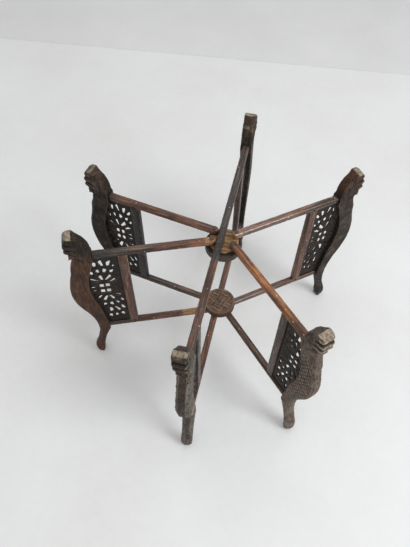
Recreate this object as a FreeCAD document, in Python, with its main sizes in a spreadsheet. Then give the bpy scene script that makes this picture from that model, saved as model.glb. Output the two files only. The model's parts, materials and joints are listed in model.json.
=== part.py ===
import FreeCAD, Part
import math
import os
import re
import Sketcher

# Folding six-legged tray stand, in millimetres. The front and back legs form one rigid centre
# frame along Y. Four gates, each with a carved leg of its own, swing about upright pins at the hub.
# Every wing is drawn pointing along X, with X measured from the hub's axis and Z from the floor.

Vector = FreeCAD.Vector

SIZES = {
    # whole stand
    "leg_height": 460,
    "leg_reach": 261,
    "leg_thickness": 26,
    "leg_bevel": 5,
    "hub_offset": 27.36,
    "bar_offset": 6,
    # rails and stiles
    "rail_width": 15,
    "rail_bevel": 3,
    "upper_rail_height": 15,
    "lower_rail_height": 14,
    "head_height": 59.5,
    "foot_height": 117.5,
    "panel_width": 47,
    "stile_width": 20,
    "stile_thickness": 14,
    "stile_bevel": 2.5,
    # tenons, pegs and panel grooves
    "tenon_length": 13,
    "tenon_thickness": 6,
    "tenon_height": 9,
    "stub_tenon_length": 7,
    "stub_tenon_width": 9,
    "peg_diameter": 4,
    "peg_stand": 0.4,
    "panel_thickness": 5.5,
    "panel_tongue": 3,
    # head of the leg, in depths beyond the rail's end and drops below the crown
    "nape_depth": 7,
    "nape_drop": 25,
    "crown_depth": 27,
    "crown_width": 11,
    "muzzle_depth": 42,
    "brow_drop": 4,
    "band_face": 9.5,
    "band_swell": 2.5,
    "band_step": 2.5,
    "groove_depth": 6.5,
    "groove_width": 4.5,
    "chin_depth": 41,
    "chin_drop": 46,
    "beard_depth": 46,
    "beard_drop": 62,
    "throat_depth": 40.5,
    # body of the leg, in depths beyond the rail's end and heights above the floor
    "shoulder_depth": 47,
    "shoulder_height": 338,
    "chest_depth": 62,
    "chest_height": 262,
    "belly_depth": 46,
    "belly_height": 202,
    "ankle_depth": 27,
    "ankle_height": 130,
    "shin_depth": 44,
    "shin_height": 38,
    "toe_depth": 40.5,
    "sole_width": 10,
    "heel_depth": 27.5,
    "heel_height": 14,
    "instep_depth": 18,
    "instep_height": 68,
    # inner edge of the leg, which the panel follows
    "flank_depth": 18.5,
    "flank_height": 224,
    "back_depth": 28,
    "back_height": 275,
    # pierced pattern of the panel
    "fret_border": 4.5,
    "fret_ring_start": 23,
    "fret_ring_pitch": 25,
    "fret_leaf_length": 22,
    "fret_leaf_width": 9,
    "fret_leaf_spacing": 14,
    "fret_flower_height": 272,
    "fret_flower_pitch": 12.5,
    "fret_flower_rise": 20.5,
    "fret_petal_width": 8.5,
    "fret_petal_height": 16,
    "fret_side_leaf_length": 14,
    "fret_side_leaf_width": 9.5,
    "fret_spray_gap": 16,
    # hub
    "pivot_across": 22,
    "pivot_along": 13.5,
    "upper_hub_diameter": 75,
    "upper_hub_thickness": 24,
    "lower_hub_diameter": 71,
    "lower_hub_thickness": 18,
    "pin_diameter": 6,
    "pin_head_diameter": 10,
    "pin_head_height": 1,
    "lower_pin_depth": 12,
    "dowel_diameter": 6,
    "dowel_spacing": 36,
    "dowel_depth": 12,
    # clearances
    "pin_clearance": 0.05,
    "swing_clearance": 0.3,
    # angle of each gate from the centre frame, as it stands
    "opening_left_front": 67.9,
    "opening_left_back": 80.9,
    "opening_right_front": 44.8,
    "opening_right_back": 52.3,
}

# Expressions that several pieces share.
UPPER_RAIL_TOP = "(leg_height - head_height)"
UPPER_RAIL_BOTTOM = "(leg_height - head_height - upper_rail_height)"
LOWER_RAIL_BOTTOM = "foot_height"
LOWER_RAIL_TOP = "(foot_height + lower_rail_height)"
UPPER_TENON_LEVEL = "(leg_height - head_height - upper_rail_height / 2)"
LOWER_TENON_LEVEL = "(foot_height + lower_rail_height / 2)"
STILE_FACE = "(leg_reach - panel_width)"
STILE_BACK = "(leg_reach - panel_width - stile_width)"
STILE_MIDDLE = "(leg_reach - panel_width - stile_width / 2)"
PIVOT_REACH = "sqrt(pivot_across ^ 2 + pivot_along ^ 2)"
LEG_PEG_REACH = "(leg_reach + tenon_length / 2)"
FUNCTIONS = ("sqrt", "cos", "sin")

# Each wing: side of the hub across and along the centre frame, and the size that opens it.
GATES = {
    "left_front": (-1, -1, "opening_left_front"),
    "left_back": (-1, 1, "opening_left_back"),
    "right_front": (1, -1, "opening_right_front"),
    "right_back": (1, 1, "opening_right_back"),
}
FIXED = {"front": -90, "back": 90}

# The two levels of rails. The face is the side that looks at the panel and the hub disc.
RAILS = (
    {
        "name": "upper",
        "bottom": UPPER_RAIL_BOTTOM,
        "height": "upper_rail_height",
        "tenon": UPPER_TENON_LEVEL,
        "face": UPPER_RAIL_BOTTOM,
    },
    {
        "name": "lower",
        "bottom": LOWER_RAIL_BOTTOM,
        "height": "lower_rail_height",
        "tenon": LOWER_TENON_LEVEL,
        "face": LOWER_RAIL_TOP,
    },
)

# Sides of the leg whose two edges are bevelled.
BEVELLED_SIDES = ("chest",)
PEG_SIDES = 6
MUZZLE_BANDS = 3
SPRAY_RINGS = 6
LEAVES_PER_SIDE = 8
SPRAY_SPREAD = 78
LEAST_HOLE_SHARE = 0.5
LEAF_ROOT_SHARE = 0.5
LEAF_LEAN = 0.16
LEAF_TWISTS = (0.24, -0.1, 0.14, -0.26, -0.05)
LEAF_SIZES = (1, 0.72, 0.9, 0.6)
TOUCH = 0.001

doc = FreeCAD.newDocument("FoldingTrayStand")
sheet = doc.addObject("Spreadsheet::Sheet", "Sizes")
for row, (alias, value) in enumerate(SIZES.items(), start=1):
    sheet.set(f"A{row}", alias)
    sheet.set(f"B{row}", str(value))
    sheet.setAlias(f"B{row}", alias)
doc.recompute()


def bind(expression):
    """Point every size name in an expression at the sheet."""
    def prefixed(match):
        word = match.group(0)
        return word if word in FUNCTIONS else "Sizes." + word
    return re.sub(r"[a-z][a-z_]+", prefixed, expression)


def value_of(expression):
    return float(sheet.evalExpression(bind(expression)))


def new_sketch(body, name, role, offset="0"):
    """A sketch on one of the body's own planes, moved along the plane's normal."""
    sketch = body.newObject("Sketcher::SketchObject", f"{body.Name}_{name}")
    plane = [feature for feature in body.Origin.OriginFeatures if feature.Role == role][0]
    sketch.AttachmentSupport = [(plane, "")]
    sketch.MapMode = "FlatFace"
    if offset != "0":
        sketch.setExpression("AttachmentOffset.Base.z", bind(offset))
    return sketch


def fix_point(sketch, curve, end, across, up):
    """Tie one point of a sketch to two expressions, measured from the sketch's origin."""
    for kind, expression, axis in (("DistanceX", across, -2), ("DistanceY", up, -1)):
        number = value_of(expression)
        if number == 0:
            sketch.addConstraint(Sketcher.Constraint("PointOnObject", curve, end, axis))
            continue
        index = sketch.addConstraint(Sketcher.Constraint(kind, -1, 1, curve, end, number))
        sketch.setExpression(f"Constraints[{index}]", bind(expression))


def start_direction(start, middle, finish):
    """Direction in which the arc through three points leaves the first."""
    circle = Part.Circle(start, middle, finish)
    spoke = start - circle.Center
    tangent = Vector(-spoke.y, spoke.x, 0).normalize()
    return tangent if tangent.dot(middle - start) > 0 else tangent * -1


def end_direction(start, finish, direction):
    """Direction at the far end of an arc that leaves its start along a direction."""
    chord = finish - start
    chord.normalize()
    return chord * (2 * direction.dot(chord)) - direction


def middle_of_tangent_arc(start, finish, direction):
    """Middle point of the arc that leaves start along a direction and ends at finish."""
    chord = finish - start
    half = chord.Length / 2
    ahead = direction.dot(chord) / chord.Length
    aside = direction - chord * (direction.dot(chord) / chord.Length ** 2)
    return start + chord * 0.5 + aside * (half / (1 + ahead))


class Outline:
    """A closed outline of named lines and arcs whose corners are expressions on the size sheet.

    A side is a line, an arc through a given point, an arc that leaves the side before it
    tangentially, or an arc that meets the side after it tangentially.
    """

    def __init__(self, start):
        self.corners = [start]
        self.bends = []
        self.names = []

    def line(self, name, across, up):
        return self._side(name, across, up, ("line",))

    def arc(self, name, across, up, through):
        return self._side(name, across, up, ("through", through))

    def leaving(self, name, across, up):
        return self._side(name, across, up, ("leaves",))

    def meeting(self, name, across, up):
        return self._side(name, across, up, ("meets",))

    def _side(self, name, across, up, bend):
        self.corners.append((across, up))
        self.bends.append(bend)
        self.names.append(name)
        return self

    def close(self, name, through=None):
        self.bends.append(("through", through) if through else ("line",))
        self.names.append(name)
        return self

    def points(self):
        return [Vector(value_of(x), value_of(y), 0) for x, y in self.corners]

    def curves(self):
        """The outline's lines and arcs as plain geometry, by name and in order."""
        points = self.points()
        ends = points[1:] + points[:1]
        shapes = {}
        leaving = {}
        arriving = {}
        order = list(zip(self.names, self.bends, points, ends))
        for name, bend, first, last in order:
            if bend[0] == "line":
                shapes[name] = Part.LineSegment(first, last)
                leaving[name] = arriving[name] = (last - first).normalize()
            elif bend[0] == "through":
                middle = Vector(value_of(bend[1][0]), value_of(bend[1][1]), 0)
                shapes[name] = Part.Arc(first, middle, last)
                leaving[name] = start_direction(first, middle, last)
                arriving[name] = end_direction(first, last, leaving[name])
        before = dict(zip(self.names[1:], self.names))
        for name, bend, first, last in order:
            if bend[0] == "leaves":
                direction = arriving[before[name]]
                shapes[name] = Part.Arc(first, middle_of_tangent_arc(first, last, direction), last)
                arriving[name] = end_direction(first, last, direction)
        after = dict(zip(self.names, self.names[1:]))
        for name, bend, first, last in order:
            if bend[0] == "meets":
                direction = leaving[after[name]] * -1
                shapes[name] = Part.Arc(first, middle_of_tangent_arc(last, first, direction), last)
        return {name: shapes[name] for name in self.names}

    def draw(self, sketch):
        """Draw the outline in a sketch, with every corner tied to the sheet."""
        points = self.points()
        count = len(points)
        ids = [sketch.addGeometry(shape, False) for shape in self.curves().values()]

        def end_at(i, point):
            return min((1, 2), key=lambda end: sketch.getPoint(ids[i], end).distanceToPoint(point))

        for i in range(count):
            after = (i + 1) % count
            smooth = self.bends[i][0] == "meets" or self.bends[after][0] == "leaves"
            kind = "Tangent" if smooth else "Coincident"
            corner = points[after]
            joint = (ids[i], end_at(i, corner), ids[after], end_at(after, corner))
            sketch.addConstraint(Sketcher.Constraint(kind, *joint))
        for i, (across, up) in enumerate(self.corners):
            fix_point(sketch, ids[i], end_at(i, points[i]), across, up)
            if self.bends[i][0] == "through":
                middle = self.bends[i][1]
                where = Vector(value_of(middle[0]), value_of(middle[1]), 0)
                mark = sketch.addGeometry(Part.Point(where), True)
                sketch.addConstraint(Sketcher.Constraint("PointOnObject", mark, 1, ids[i]))
                fix_point(sketch, mark, 1, *middle)
        return sketch


def rectangle(left, right, bottom, top):
    shape = Outline((left, bottom))
    shape.line("bottom", right, bottom).line("right", right, top).line("top", left, top)
    return shape.close("left")


def draw_circle(sketch, across, up, diameter):
    radius = value_of(diameter) / 2
    centre = Vector(value_of(across), value_of(up), 0)
    ring = sketch.addGeometry(Part.Circle(centre, Vector(0, 0, 1), radius), False)
    fix_point(sketch, ring, 3, across, up)
    index = sketch.addConstraint(Sketcher.Constraint("Diameter", ring, radius * 2))
    sketch.setExpression(f"Constraints[{index}]", bind(diameter))


def draw_peg(sketch, across, up, diameter):
    """The outline of a whittled peg, with as many flat sides as a peg has."""
    corners = []
    for side in range(PEG_SIDES):
        turn = 360 / PEG_SIDES * side
        corners.append((f"{across} + {diameter} / 2 * cos({turn})", f"{up} + {diameter} / 2 * sin({turn})"))
    shape = Outline(corners[0])
    for side, (x, y) in enumerate(corners[1:]):
        shape.line(f"flat_{side}", x, y)
    shape.close("last_flat").draw(sketch)


def pad(body, sketch, length, side="One side", reverse=False):
    feature = body.newObject("PartDesign::Pad", sketch.Name + "_pad")
    feature.Profile = sketch
    feature.SideType = side
    feature.Reversed = reverse
    feature.setExpression("Length", bind(length))
    doc.recompute()


def pocket(body, sketch, length, side="Symmetric", reverse=False):
    """Cut a sketch out of a body, and make sure that it took something away."""
    before = body.Shape.Volume
    feature = body.newObject("PartDesign::Pocket", sketch.Name + "_pocket")
    feature.Profile = sketch
    feature.SideType = side
    feature.Reversed = reverse
    feature.setExpression("Length", bind(length))
    doc.recompute()
    if not body.Shape.Volume < before:
        raise RuntimeError(f"{sketch.Name} cut nothing")


def bevel_edges(body, size, chosen):
    """Bevel the edges of a body's latest shape that a test picks out."""
    base = body.Tip
    names = [f"Edge{i}" for i, edge in enumerate(base.Shape.Edges, start=1) if chosen(edge)]
    feature = body.newObject("PartDesign::Chamfer", f"{body.Name}_bevel")
    feature.Base = (base, names)
    feature.setExpression("Size", bind(size))
    doc.recompute()


def new_body(label):
    body = doc.addObject("PartDesign::Body", label)
    body.Label = label
    return body


def place_on_frame(piece, azimuth):
    """Stand a piece of the centre frame in line with the bars, turned to an azimuth."""
    piece.setExpression("Placement.Base.x", bind("hub_offset - bar_offset"))
    piece.setExpression("Placement.Rotation.Angle", str(azimuth))


def place_on_hub(disc):
    """Set a hub disc on the hub's axis, turned as the bars are."""
    disc.setExpression("Placement.Base.x", bind("hub_offset"))
    disc.setExpression("Placement.Rotation.Angle", str(FIXED["back"]))


def place_on_gate(piece, gate):
    """Hang a gate's piece on its pin and swing it open."""
    across, along, opening = GATES[gate]
    turn = f"({90 * along} - {across * along} * {opening})"
    x = f"hub_offset + {across} * pivot_across - {PIVOT_REACH} * cos({turn})"
    y = f"{along} * pivot_along - {PIVOT_REACH} * sin({turn})"
    piece.setExpression("Placement.Base.x", bind(x))
    piece.setExpression("Placement.Base.y", bind(y))
    piece.setExpression("Placement.Rotation.Angle", bind(turn))


def depth(words):
    """Reach of a point of the leg, from its depth beyond the rail's end."""
    return f"leg_reach + {words}"


def below_crown(words):
    return f"leg_height - ({words})"


def head_outline():
    """Side view of the animal head, from the nape over the muzzle's bands to the throat."""
    side = Outline(("leg_reach", UPPER_RAIL_TOP))
    nape = (depth("nape_depth"), below_crown("nape_drop"))
    side.arc("nape", depth("crown_depth"), "leg_height", nape)
    side.line("crown", depth("crown_depth + crown_width"), "leg_height")
    side.line("brow", depth("muzzle_depth"), below_crown("brow_drop"))
    lower_front = "muzzle_depth + band_step"
    for band in range(MUZZLE_BANDS):
        top = f"brow_drop + {band} * (band_face + groove_width)"
        front = "muzzle_depth" if band == 0 else lower_front
        swell = (depth(f"{front} + band_swell"), below_crown(f"{top} + band_face / 2"))
        side.arc(f"band_{band}", depth(front), below_crown(f"{top} + band_face"), swell)
        if band < MUZZLE_BANDS - 1:
            root = below_crown(f"{top} + band_face + groove_width / 2")
            side.line(f"groove_{band}_upper", depth(f"{front} - groove_depth"), root)
            lip = below_crown(f"{top} + band_face + groove_width")
            side.line(f"groove_{band}_lower", depth(lower_front), lip)
    side.line("chin", depth("chin_depth"), below_crown("chin_drop"))
    side.line("beard", depth("beard_depth"), below_crown("beard_drop"))
    side.line("throat", depth("throat_depth"), UPPER_RAIL_TOP)
    return side.close("neck_cut")


def body_outline():
    """Side view of the leg below its head: chest, ankle and foot."""
    side = Outline(("leg_reach", UPPER_RAIL_TOP)).line("neck_cut", depth("throat_depth"), UPPER_RAIL_TOP)
    side.meeting("neck", depth("shoulder_depth"), "shoulder_height")
    chest = (depth("chest_depth"), "chest_height")
    side.arc("chest", depth("belly_depth"), "belly_height", chest)
    side.leaving("sweep", depth("ankle_depth"), "ankle_height")
    side.leaving("shin", depth("shin_depth"), "shin_height")
    side.leaving("toe", depth("toe_depth"), "0")
    side.line("sole", depth("toe_depth - sole_width"), "0")
    side.meeting("heel", depth("heel_depth"), "heel_height")
    instep = (depth("instep_depth"), "instep_height")
    side.arc("instep", "leg_reach", LOWER_RAIL_BOTTOM, instep)
    side.line("ankle_seat", "leg_reach", LOWER_RAIL_TOP)
    side.meeting("flank", depth("flank_depth"), "flank_height")
    back = (depth("back_depth"), "back_height")
    side.arc("back", "leg_reach", UPPER_RAIL_BOTTOM, back)
    return side.close("neck_seat")


def panel_outline(toward=1):
    """The panel's edge on one side of the hub: tongues in stile and rails, set against the leg."""
    def out(words):
        return f"{toward} * ({words})"

    near = out(f"{STILE_FACE} - panel_tongue")
    far = out("leg_reach")
    low = f"{LOWER_RAIL_TOP} - panel_tongue"
    high = f"{UPPER_RAIL_BOTTOM} + panel_tongue"
    edge = Outline((near, low)).line("bottom", far, low)
    edge.line("ankle", far, LOWER_RAIL_TOP)
    edge.meeting("flank", out(depth("flank_depth")), "flank_height")
    edge.arc("back", far, UPPER_RAIL_BOTTOM, (out(depth("back_depth")), "back_height"))
    edge.line("neck", far, high).line("top", near, high)
    return edge.close("stile")


def cut_panel_groove(body, toward=1):
    name = "groove" if toward > 0 else "groove_opposite"
    sketch = panel_outline(toward).draw(new_sketch(body, name, "XZ_Plane"))
    pocket(body, sketch, "panel_thickness")


def cut_peg_holes(body, places):
    sketch = new_sketch(body, "pegs", "XZ_Plane")
    for across, up in places:
        draw_peg(sketch, across, up, "peg_diameter")
    pocket(body, sketch, "leg_thickness * 2")


def peg_places():
    """Where pegs hold one wing together: rail tenons in the leg, stile tenons in the rails."""
    return {
        "leg_upper": (LEG_PEG_REACH, UPPER_TENON_LEVEL),
        "leg_lower": (LEG_PEG_REACH, LOWER_TENON_LEVEL),
        "stile_upper": (STILE_MIDDLE, f"({UPPER_RAIL_BOTTOM} + stub_tenon_length / 2)"),
        "stile_lower": (STILE_MIDDLE, f"({LOWER_RAIL_TOP} - stub_tenon_length / 2)"),
    }


def middle_of(curve):
    return curve.value((curve.FirstParameter + curve.LastParameter) / 2)


def bevel_sides(body, outline, names):
    """Bevel both edges of some sides of a plank that was padded from an outline."""
    half = value_of("leg_thickness") / 2
    curves = outline.curves()
    spots = [middle_of(curves[name]) for name in names]

    def on_side(edge):
        middle = edge.valueAt((edge.FirstParameter + edge.LastParameter) / 2)
        flat = Vector(middle.x, middle.z, 0)
        on_face = abs(abs(middle.y) - half) < TOUCH
        return on_face and any(flat.distanceToPoint(spot) < TOUCH for spot in spots)

    bevel_edges(body, "leg_bevel", on_side)


def build_leg(label):
    body = new_body(label)
    outline = body_outline()
    pad(body, outline.draw(new_sketch(body, "body", "XZ_Plane")), "leg_thickness", "Symmetric")
    bevel_sides(body, outline, BEVELLED_SIDES)
    head = head_outline().draw(new_sketch(body, "head", "XZ_Plane"))
    pad(body, head, "leg_thickness", "Symmetric")
    for name, level in (("neck_mortise", UPPER_TENON_LEVEL), ("ankle_mortise", LOWER_TENON_LEVEL)):
        low = f"{level} - tenon_height / 2"
        high = f"{level} + tenon_height / 2"
        hole = rectangle("leg_reach - tenon_length", "leg_reach + tenon_length", low, high)
        pocket(body, hole.draw(new_sketch(body, name, "XZ_Plane")), "tenon_thickness")
    pegs = peg_places()
    cut_peg_holes(body, [pegs["leg_upper"], pegs["leg_lower"]])
    return body


def add_tenon(body, level, toward):
    """The tenon on a rail's outer end, which goes into the leg."""
    low = f"{level} - tenon_height / 2"
    high = f"{level} + tenon_height / 2"
    shape = rectangle("-tenon_thickness / 2", "tenon_thickness / 2", low, high)
    name = "tenon" if toward > 0 else "tenon_opposite"
    sketch = shape.draw(new_sketch(body, name, "YZ_Plane", f"{toward} * leg_reach"))
    pad(body, sketch, "tenon_length", reverse=toward < 0)


def cut_stub_mortise(body, face, toward):
    """The mortise in a rail's face that takes a stile's stub tenon."""
    left = f"{toward} * {STILE_MIDDLE} - stub_tenon_width / 2"
    right = f"{toward} * {STILE_MIDDLE} + stub_tenon_width / 2"
    shape = rectangle(left, right, f"{face} - stub_tenon_length", f"{face} + stub_tenon_length")
    name = "stub" if toward > 0 else "stub_opposite"
    pocket(body, shape.draw(new_sketch(body, name, "XZ_Plane")), "tenon_thickness")


def pad_rail(body, rail, start, length):
    """The plain length of a rail: its bevelled section, drawn out from a reach."""
    half = "rail_width / 2"
    low = rail["bottom"]
    high = f"{low} + {rail['height']}"
    section = Outline((f"rail_bevel - {half}", low))
    section.line("bottom", f"{half} - rail_bevel", low)
    section.line("bevel_0", half, f"{low} + rail_bevel")
    section.line("far_side", half, f"{high} - rail_bevel")
    section.line("bevel_1", f"{half} - rail_bevel", high)
    section.line("top", f"rail_bevel - {half}", high)
    section.line("bevel_2", f"-{half}", f"{high} - rail_bevel")
    section.line("near_side", f"-{half}", f"{low} + rail_bevel")
    section.close("bevel_3").draw(sketch := new_sketch(body, "section", "YZ_Plane", start))
    pad(body, sketch, length)


def round_eye(body, rail):
    """Round off a rail's end about its pin, and bore it."""
    half = "rail_width / 2"
    behind = f"{PIVOT_REACH} - rail_width"
    waste = Outline((PIVOT_REACH, half)).line("far_end", PIVOT_REACH, "rail_width")
    waste.line("far_side", behind, "rail_width").line("behind", behind, "-rail_width")
    waste.line("near_side", PIVOT_REACH, "-rail_width").line("near_end", PIVOT_REACH, f"-{half}")
    waste.close("eye", (f"{PIVOT_REACH} - {half}", "0"))
    sketch = waste.draw(new_sketch(body, "eye", "XY_Plane", rail["bottom"]))
    pocket(body, sketch, f"{rail['height']} * 3")
    bore = new_sketch(body, "bore", "XY_Plane", rail["bottom"])
    draw_circle(bore, PIVOT_REACH, "0", "pin_diameter + 2 * pin_clearance")
    pocket(body, bore, f"{rail['height']} * 3")


def build_gate_rail(label, rail):
    """A rail from its round eye at the pin to its tenon in the leg."""
    body = new_body(label)
    start = f"{PIVOT_REACH} - rail_width * 3 / 4"
    pad_rail(body, rail, start, f"leg_reach - ({start})")
    round_eye(body, rail)
    add_tenon(body, rail["tenon"], 1)
    cut_stub_mortise(body, rail["face"], 1)
    cut_panel_groove(body)
    pegs = peg_places()
    cut_peg_holes(body, [pegs["leg_" + rail["name"]], pegs["stile_" + rail["name"]]])
    return body


def build_bar(label, rail):
    """A bar of the centre frame, from leg to leg across the hub, packed up to the hub disc."""
    body = new_body(label)
    pad_rail(body, rail, "-leg_reach", "leg_reach * 2")
    half_length = "(dowel_spacing / 2 + dowel_diameter)"
    half_width = "(rail_width / 2 - rail_bevel)"
    seat = rectangle(f"-{half_length}", half_length, f"-{half_width}", half_width)
    sketch = seat.draw(new_sketch(body, "hub_seat", "XY_Plane", rail["face"]))
    pad(body, sketch, "swing_clearance", reverse=rail["name"] == "upper")
    places = []
    pegs = peg_places()
    for toward in (1, -1):
        add_tenon(body, rail["tenon"], toward)
        cut_stub_mortise(body, rail["face"], toward)
        cut_panel_groove(body, toward)
        for joint in ("leg_", "stile_"):
            across, up = pegs[joint + rail["name"]]
            places.append((f"{toward} * {across}", up))
    dowels = new_sketch(body, "dowels", "XY_Plane", rail["bottom"])
    for toward in (1, -1):
        draw_peg(dowels, f"{toward} * dowel_spacing / 2", "0", "dowel_diameter")
    pocket(body, dowels, f"{rail['height']} * 3")
    cut_peg_holes(body, places)
    return body


def build_stile(label):
    body = new_body(label)
    front = rectangle(STILE_BACK, STILE_FACE, LOWER_RAIL_TOP, UPPER_RAIL_BOTTOM)
    pad(body, front.draw(new_sketch(body, "front", "XZ_Plane")), "stile_thickness", "Symmetric")
    tall = value_of(f"{UPPER_RAIL_BOTTOM} - {LOWER_RAIL_TOP}")
    bevel_edges(body, "stile_bevel", lambda edge: abs(edge.BoundBox.ZLength - tall) < TOUCH)
    left = f"{STILE_MIDDLE} - stub_tenon_width / 2"
    right = f"{STILE_MIDDLE} + stub_tenon_width / 2"
    stub = rectangle(left, right, "-tenon_thickness / 2", "tenon_thickness / 2")
    for name, level in (("stub_upper", UPPER_RAIL_BOTTOM), ("stub_lower", LOWER_RAIL_TOP)):
        sketch = stub.draw(new_sketch(body, name, "XY_Plane", level))
        pad(body, sketch, "stub_tenon_length", reverse=name == "stub_lower")
    cut_panel_groove(body)
    pegs = peg_places()
    cut_peg_holes(body, [pegs["stile_upper"], pegs["stile_lower"]])
    return body


class FretField:
    """The part of the panel that may be pierced: inside its border, up to the leg's inner edge."""

    def __init__(self):
        border = value_of("fret_border")
        self.near = value_of(STILE_FACE) + border
        self.low = value_of(LOWER_RAIL_TOP) + border
        self.high = value_of(UPPER_RAIL_BOTTOM) - border
        curves = body_outline().curves()
        arcs = [curves["flank"].toShape(), curves["back"].toShape()]
        for arc in arcs:
            arc.translate(Vector(-border, 0, 0))
        foot = arcs[0].firstVertex(True).Point
        neck = arcs[1].lastVertex(True).Point
        ends = sorted((foot, neck), key=lambda point: point.y)
        low_corner = Vector(self.near, ends[0].y, 0)
        high_corner = Vector(self.near, ends[1].y, 0)
        straight = [
            Part.makeLine(low_corner, ends[0]),
            Part.makeLine(ends[1], high_corner),
            Part.makeLine(high_corner, low_corner),
        ]
        whole = Part.Face(Part.Wire(Part.__sortEdges__(arcs + straight)))
        width = whole.BoundBox.XLength
        strip = Part.makePlane(width, self.high - self.low, Vector(self.near, self.low, 0))
        self.face = whole.common(strip)

    def middle(self, height):
        """The point halfway across the field at a height."""
        line = Part.makeLine(Vector(self.near, height, 0), Vector(self.near * 2, height, 0))
        return self.face.common(line).BoundBox.Center

    def trim(self, corners):
        """What is left of a hole inside the field, if that is enough to be worth sawing."""
        hole = Part.Face(Part.makePolygon(corners + corners[:1]))
        inside = self.face.common(hole)
        return inside.Faces if inside.Area > hole.Area * LEAST_HOLE_SHARE else []


def leaf_hole(centre, direction, length, width, lean):
    """A leaf: narrow at its root and broad at its tip, which leans to one side."""
    aside = Vector(-direction.y, direction.x, 0)
    root = LEAF_ROOT_SHARE / 2
    corners = ((-root, -0.5), (root, -0.5), (0.5, 0.5 - lean), (-0.5, 0.5 + lean))
    return [centre + aside * (x * width) + direction * (y * length) for x, y in corners]


def spray_holes(root, goal):
    """Rings of uneven leaves that fan out from a root towards a goal."""
    axis = (goal - root).normalize()
    aside = Vector(-axis.y, axis.x, 0)
    spacing = value_of("fret_leaf_spacing")
    length = value_of("fret_leaf_length")
    width = value_of("fret_leaf_width")
    for ring in range(SPRAY_RINGS):
        radius = value_of("fret_ring_start") + ring * value_of("fret_ring_pitch")
        step = spacing / radius
        shift = 0.5 if ring % 2 == 0 else 0
        for place in range(-LEAVES_PER_SIDE, LEAVES_PER_SIDE + 1):
            angle = (place + shift) * step
            if abs(angle) < math.radians(SPRAY_SPREAD):
                spot = root + (axis * math.cos(angle) + aside * math.sin(angle)) * radius
                twist = angle + LEAF_TWISTS[(place + 2 * ring) % len(LEAF_TWISTS)]
                direction = axis * math.cos(twist) + aside * math.sin(twist)
                size = LEAF_SIZES[(2 * place + ring) % len(LEAF_SIZES)]
                lean = LEAF_LEAN if twist > angle else -LEAF_LEAN
                yield leaf_hole(spot, direction, length * size, width, lean)


def flower_holes(centre):
    """Four upright petals and two pairs of side leaves."""
    pitch = value_of("fret_flower_pitch")
    rise = value_of("fret_flower_rise")
    wide = value_of("fret_petal_width") / 2
    tall = value_of("fret_petal_height") / 2
    length = value_of("fret_side_leaf_length")
    width = value_of("fret_side_leaf_width")
    beyond_petals = pitch * 3 / 2 - wide + length / 2
    for x in (-1, 1):
        for y in (-1, 1):
            spot = centre + Vector(x * pitch / 2, y * rise / 2, 0)
            petal = ((-wide, -tall), (wide, -tall), (wide, tall), (-wide, tall))
            yield [spot + Vector(*corner, 0) for corner in petal]
            side = centre + Vector(x * beyond_petals, y * rise / 3, 0)
            yield leaf_hole(side, Vector(x, 0, 0), length, width, 0)


def build_fret():
    """All the holes of one panel as a group of saw cuts straight through."""
    field = FretField()
    flower = field.middle(value_of("fret_flower_height"))
    gap = Vector(0, value_of("fret_spray_gap"), 0)
    holes = list(flower_holes(flower))
    holes += spray_holes(flower + gap, field.middle(field.high))
    holes += spray_holes(flower - gap, field.middle(field.low))
    thickness = value_of("panel_thickness")
    cuts = []
    for corners in holes:
        for face in field.trim(corners):
            face.rotate(Vector(), Vector(1, 0, 0), 90)
            face.translate(Vector(0, thickness, 0))
            cuts.append(face.extrude(Vector(0, -2 * thickness, 0)))
    fret = doc.addObject("Part::Feature", "fret_cuts")
    fret.Shape = Part.makeCompound(cuts)
    return fret


def build_panel_blank():
    body = new_body("panel_blank")
    sketch = panel_outline().draw(new_sketch(body, "edge", "XZ_Plane"))
    pad(body, sketch, "panel_thickness", "Symmetric")
    return body


def build_panel(label, blank, fret):
    panel = doc.addObject("Part::Cut", label)
    panel.Base = blank
    panel.Tool = fret
    panel.Label = label
    return panel


def build_disc(label, diameter, bottom, thickness):
    body = new_body(label)
    sketch = new_sketch(body, "round", "XY_Plane", bottom)
    draw_circle(sketch, "0", "0", diameter)
    pad(body, sketch, thickness)
    return body


def build_upper_hub(label):
    """The disc under the upper rails, with its pins driven right through."""
    top = f"({UPPER_RAIL_BOTTOM} - swing_clearance)"
    bottom = f"{top} - upper_hub_thickness"
    body = build_disc(label, "upper_hub_diameter", bottom, "upper_hub_thickness")
    pocket(body, pin_holes(body, top), "upper_hub_thickness * 3")
    cut_hub_dowels(body, top, reverse=False)
    return body


def build_lower_hub(label):
    """The disc above the lower rails, with its pins in blind holes, so that its top is whole."""
    bottom = f"({LOWER_RAIL_TOP} + swing_clearance)"
    body = build_disc(label, "lower_hub_diameter", bottom, "lower_hub_thickness")
    pocket(body, pin_holes(body, bottom), "lower_pin_depth", "One side", reverse=True)
    cut_hub_dowels(body, bottom, reverse=True)
    return body


def pin_holes(body, level):
    """The four holes of a hub disc that its pivot pins are pressed into."""
    sketch = new_sketch(body, "pins", "XY_Plane", level)
    for across in (-1, 1):
        for along in (-1, 1):
            draw_circle(sketch, f"{along} * pivot_along", f"{across} * pivot_across", "pin_diameter")
    return sketch


def cut_hub_dowels(body, face, reverse):
    """Blind holes in a hub disc for the dowels that hold its bar."""
    holes = new_sketch(body, "dowels", "XY_Plane", face)
    for toward in (1, -1):
        draw_peg(holes, f"{toward} * dowel_spacing / 2", "bar_offset", "dowel_diameter")
    pocket(body, holes, "dowel_depth", "One side", reverse=reverse)


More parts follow.
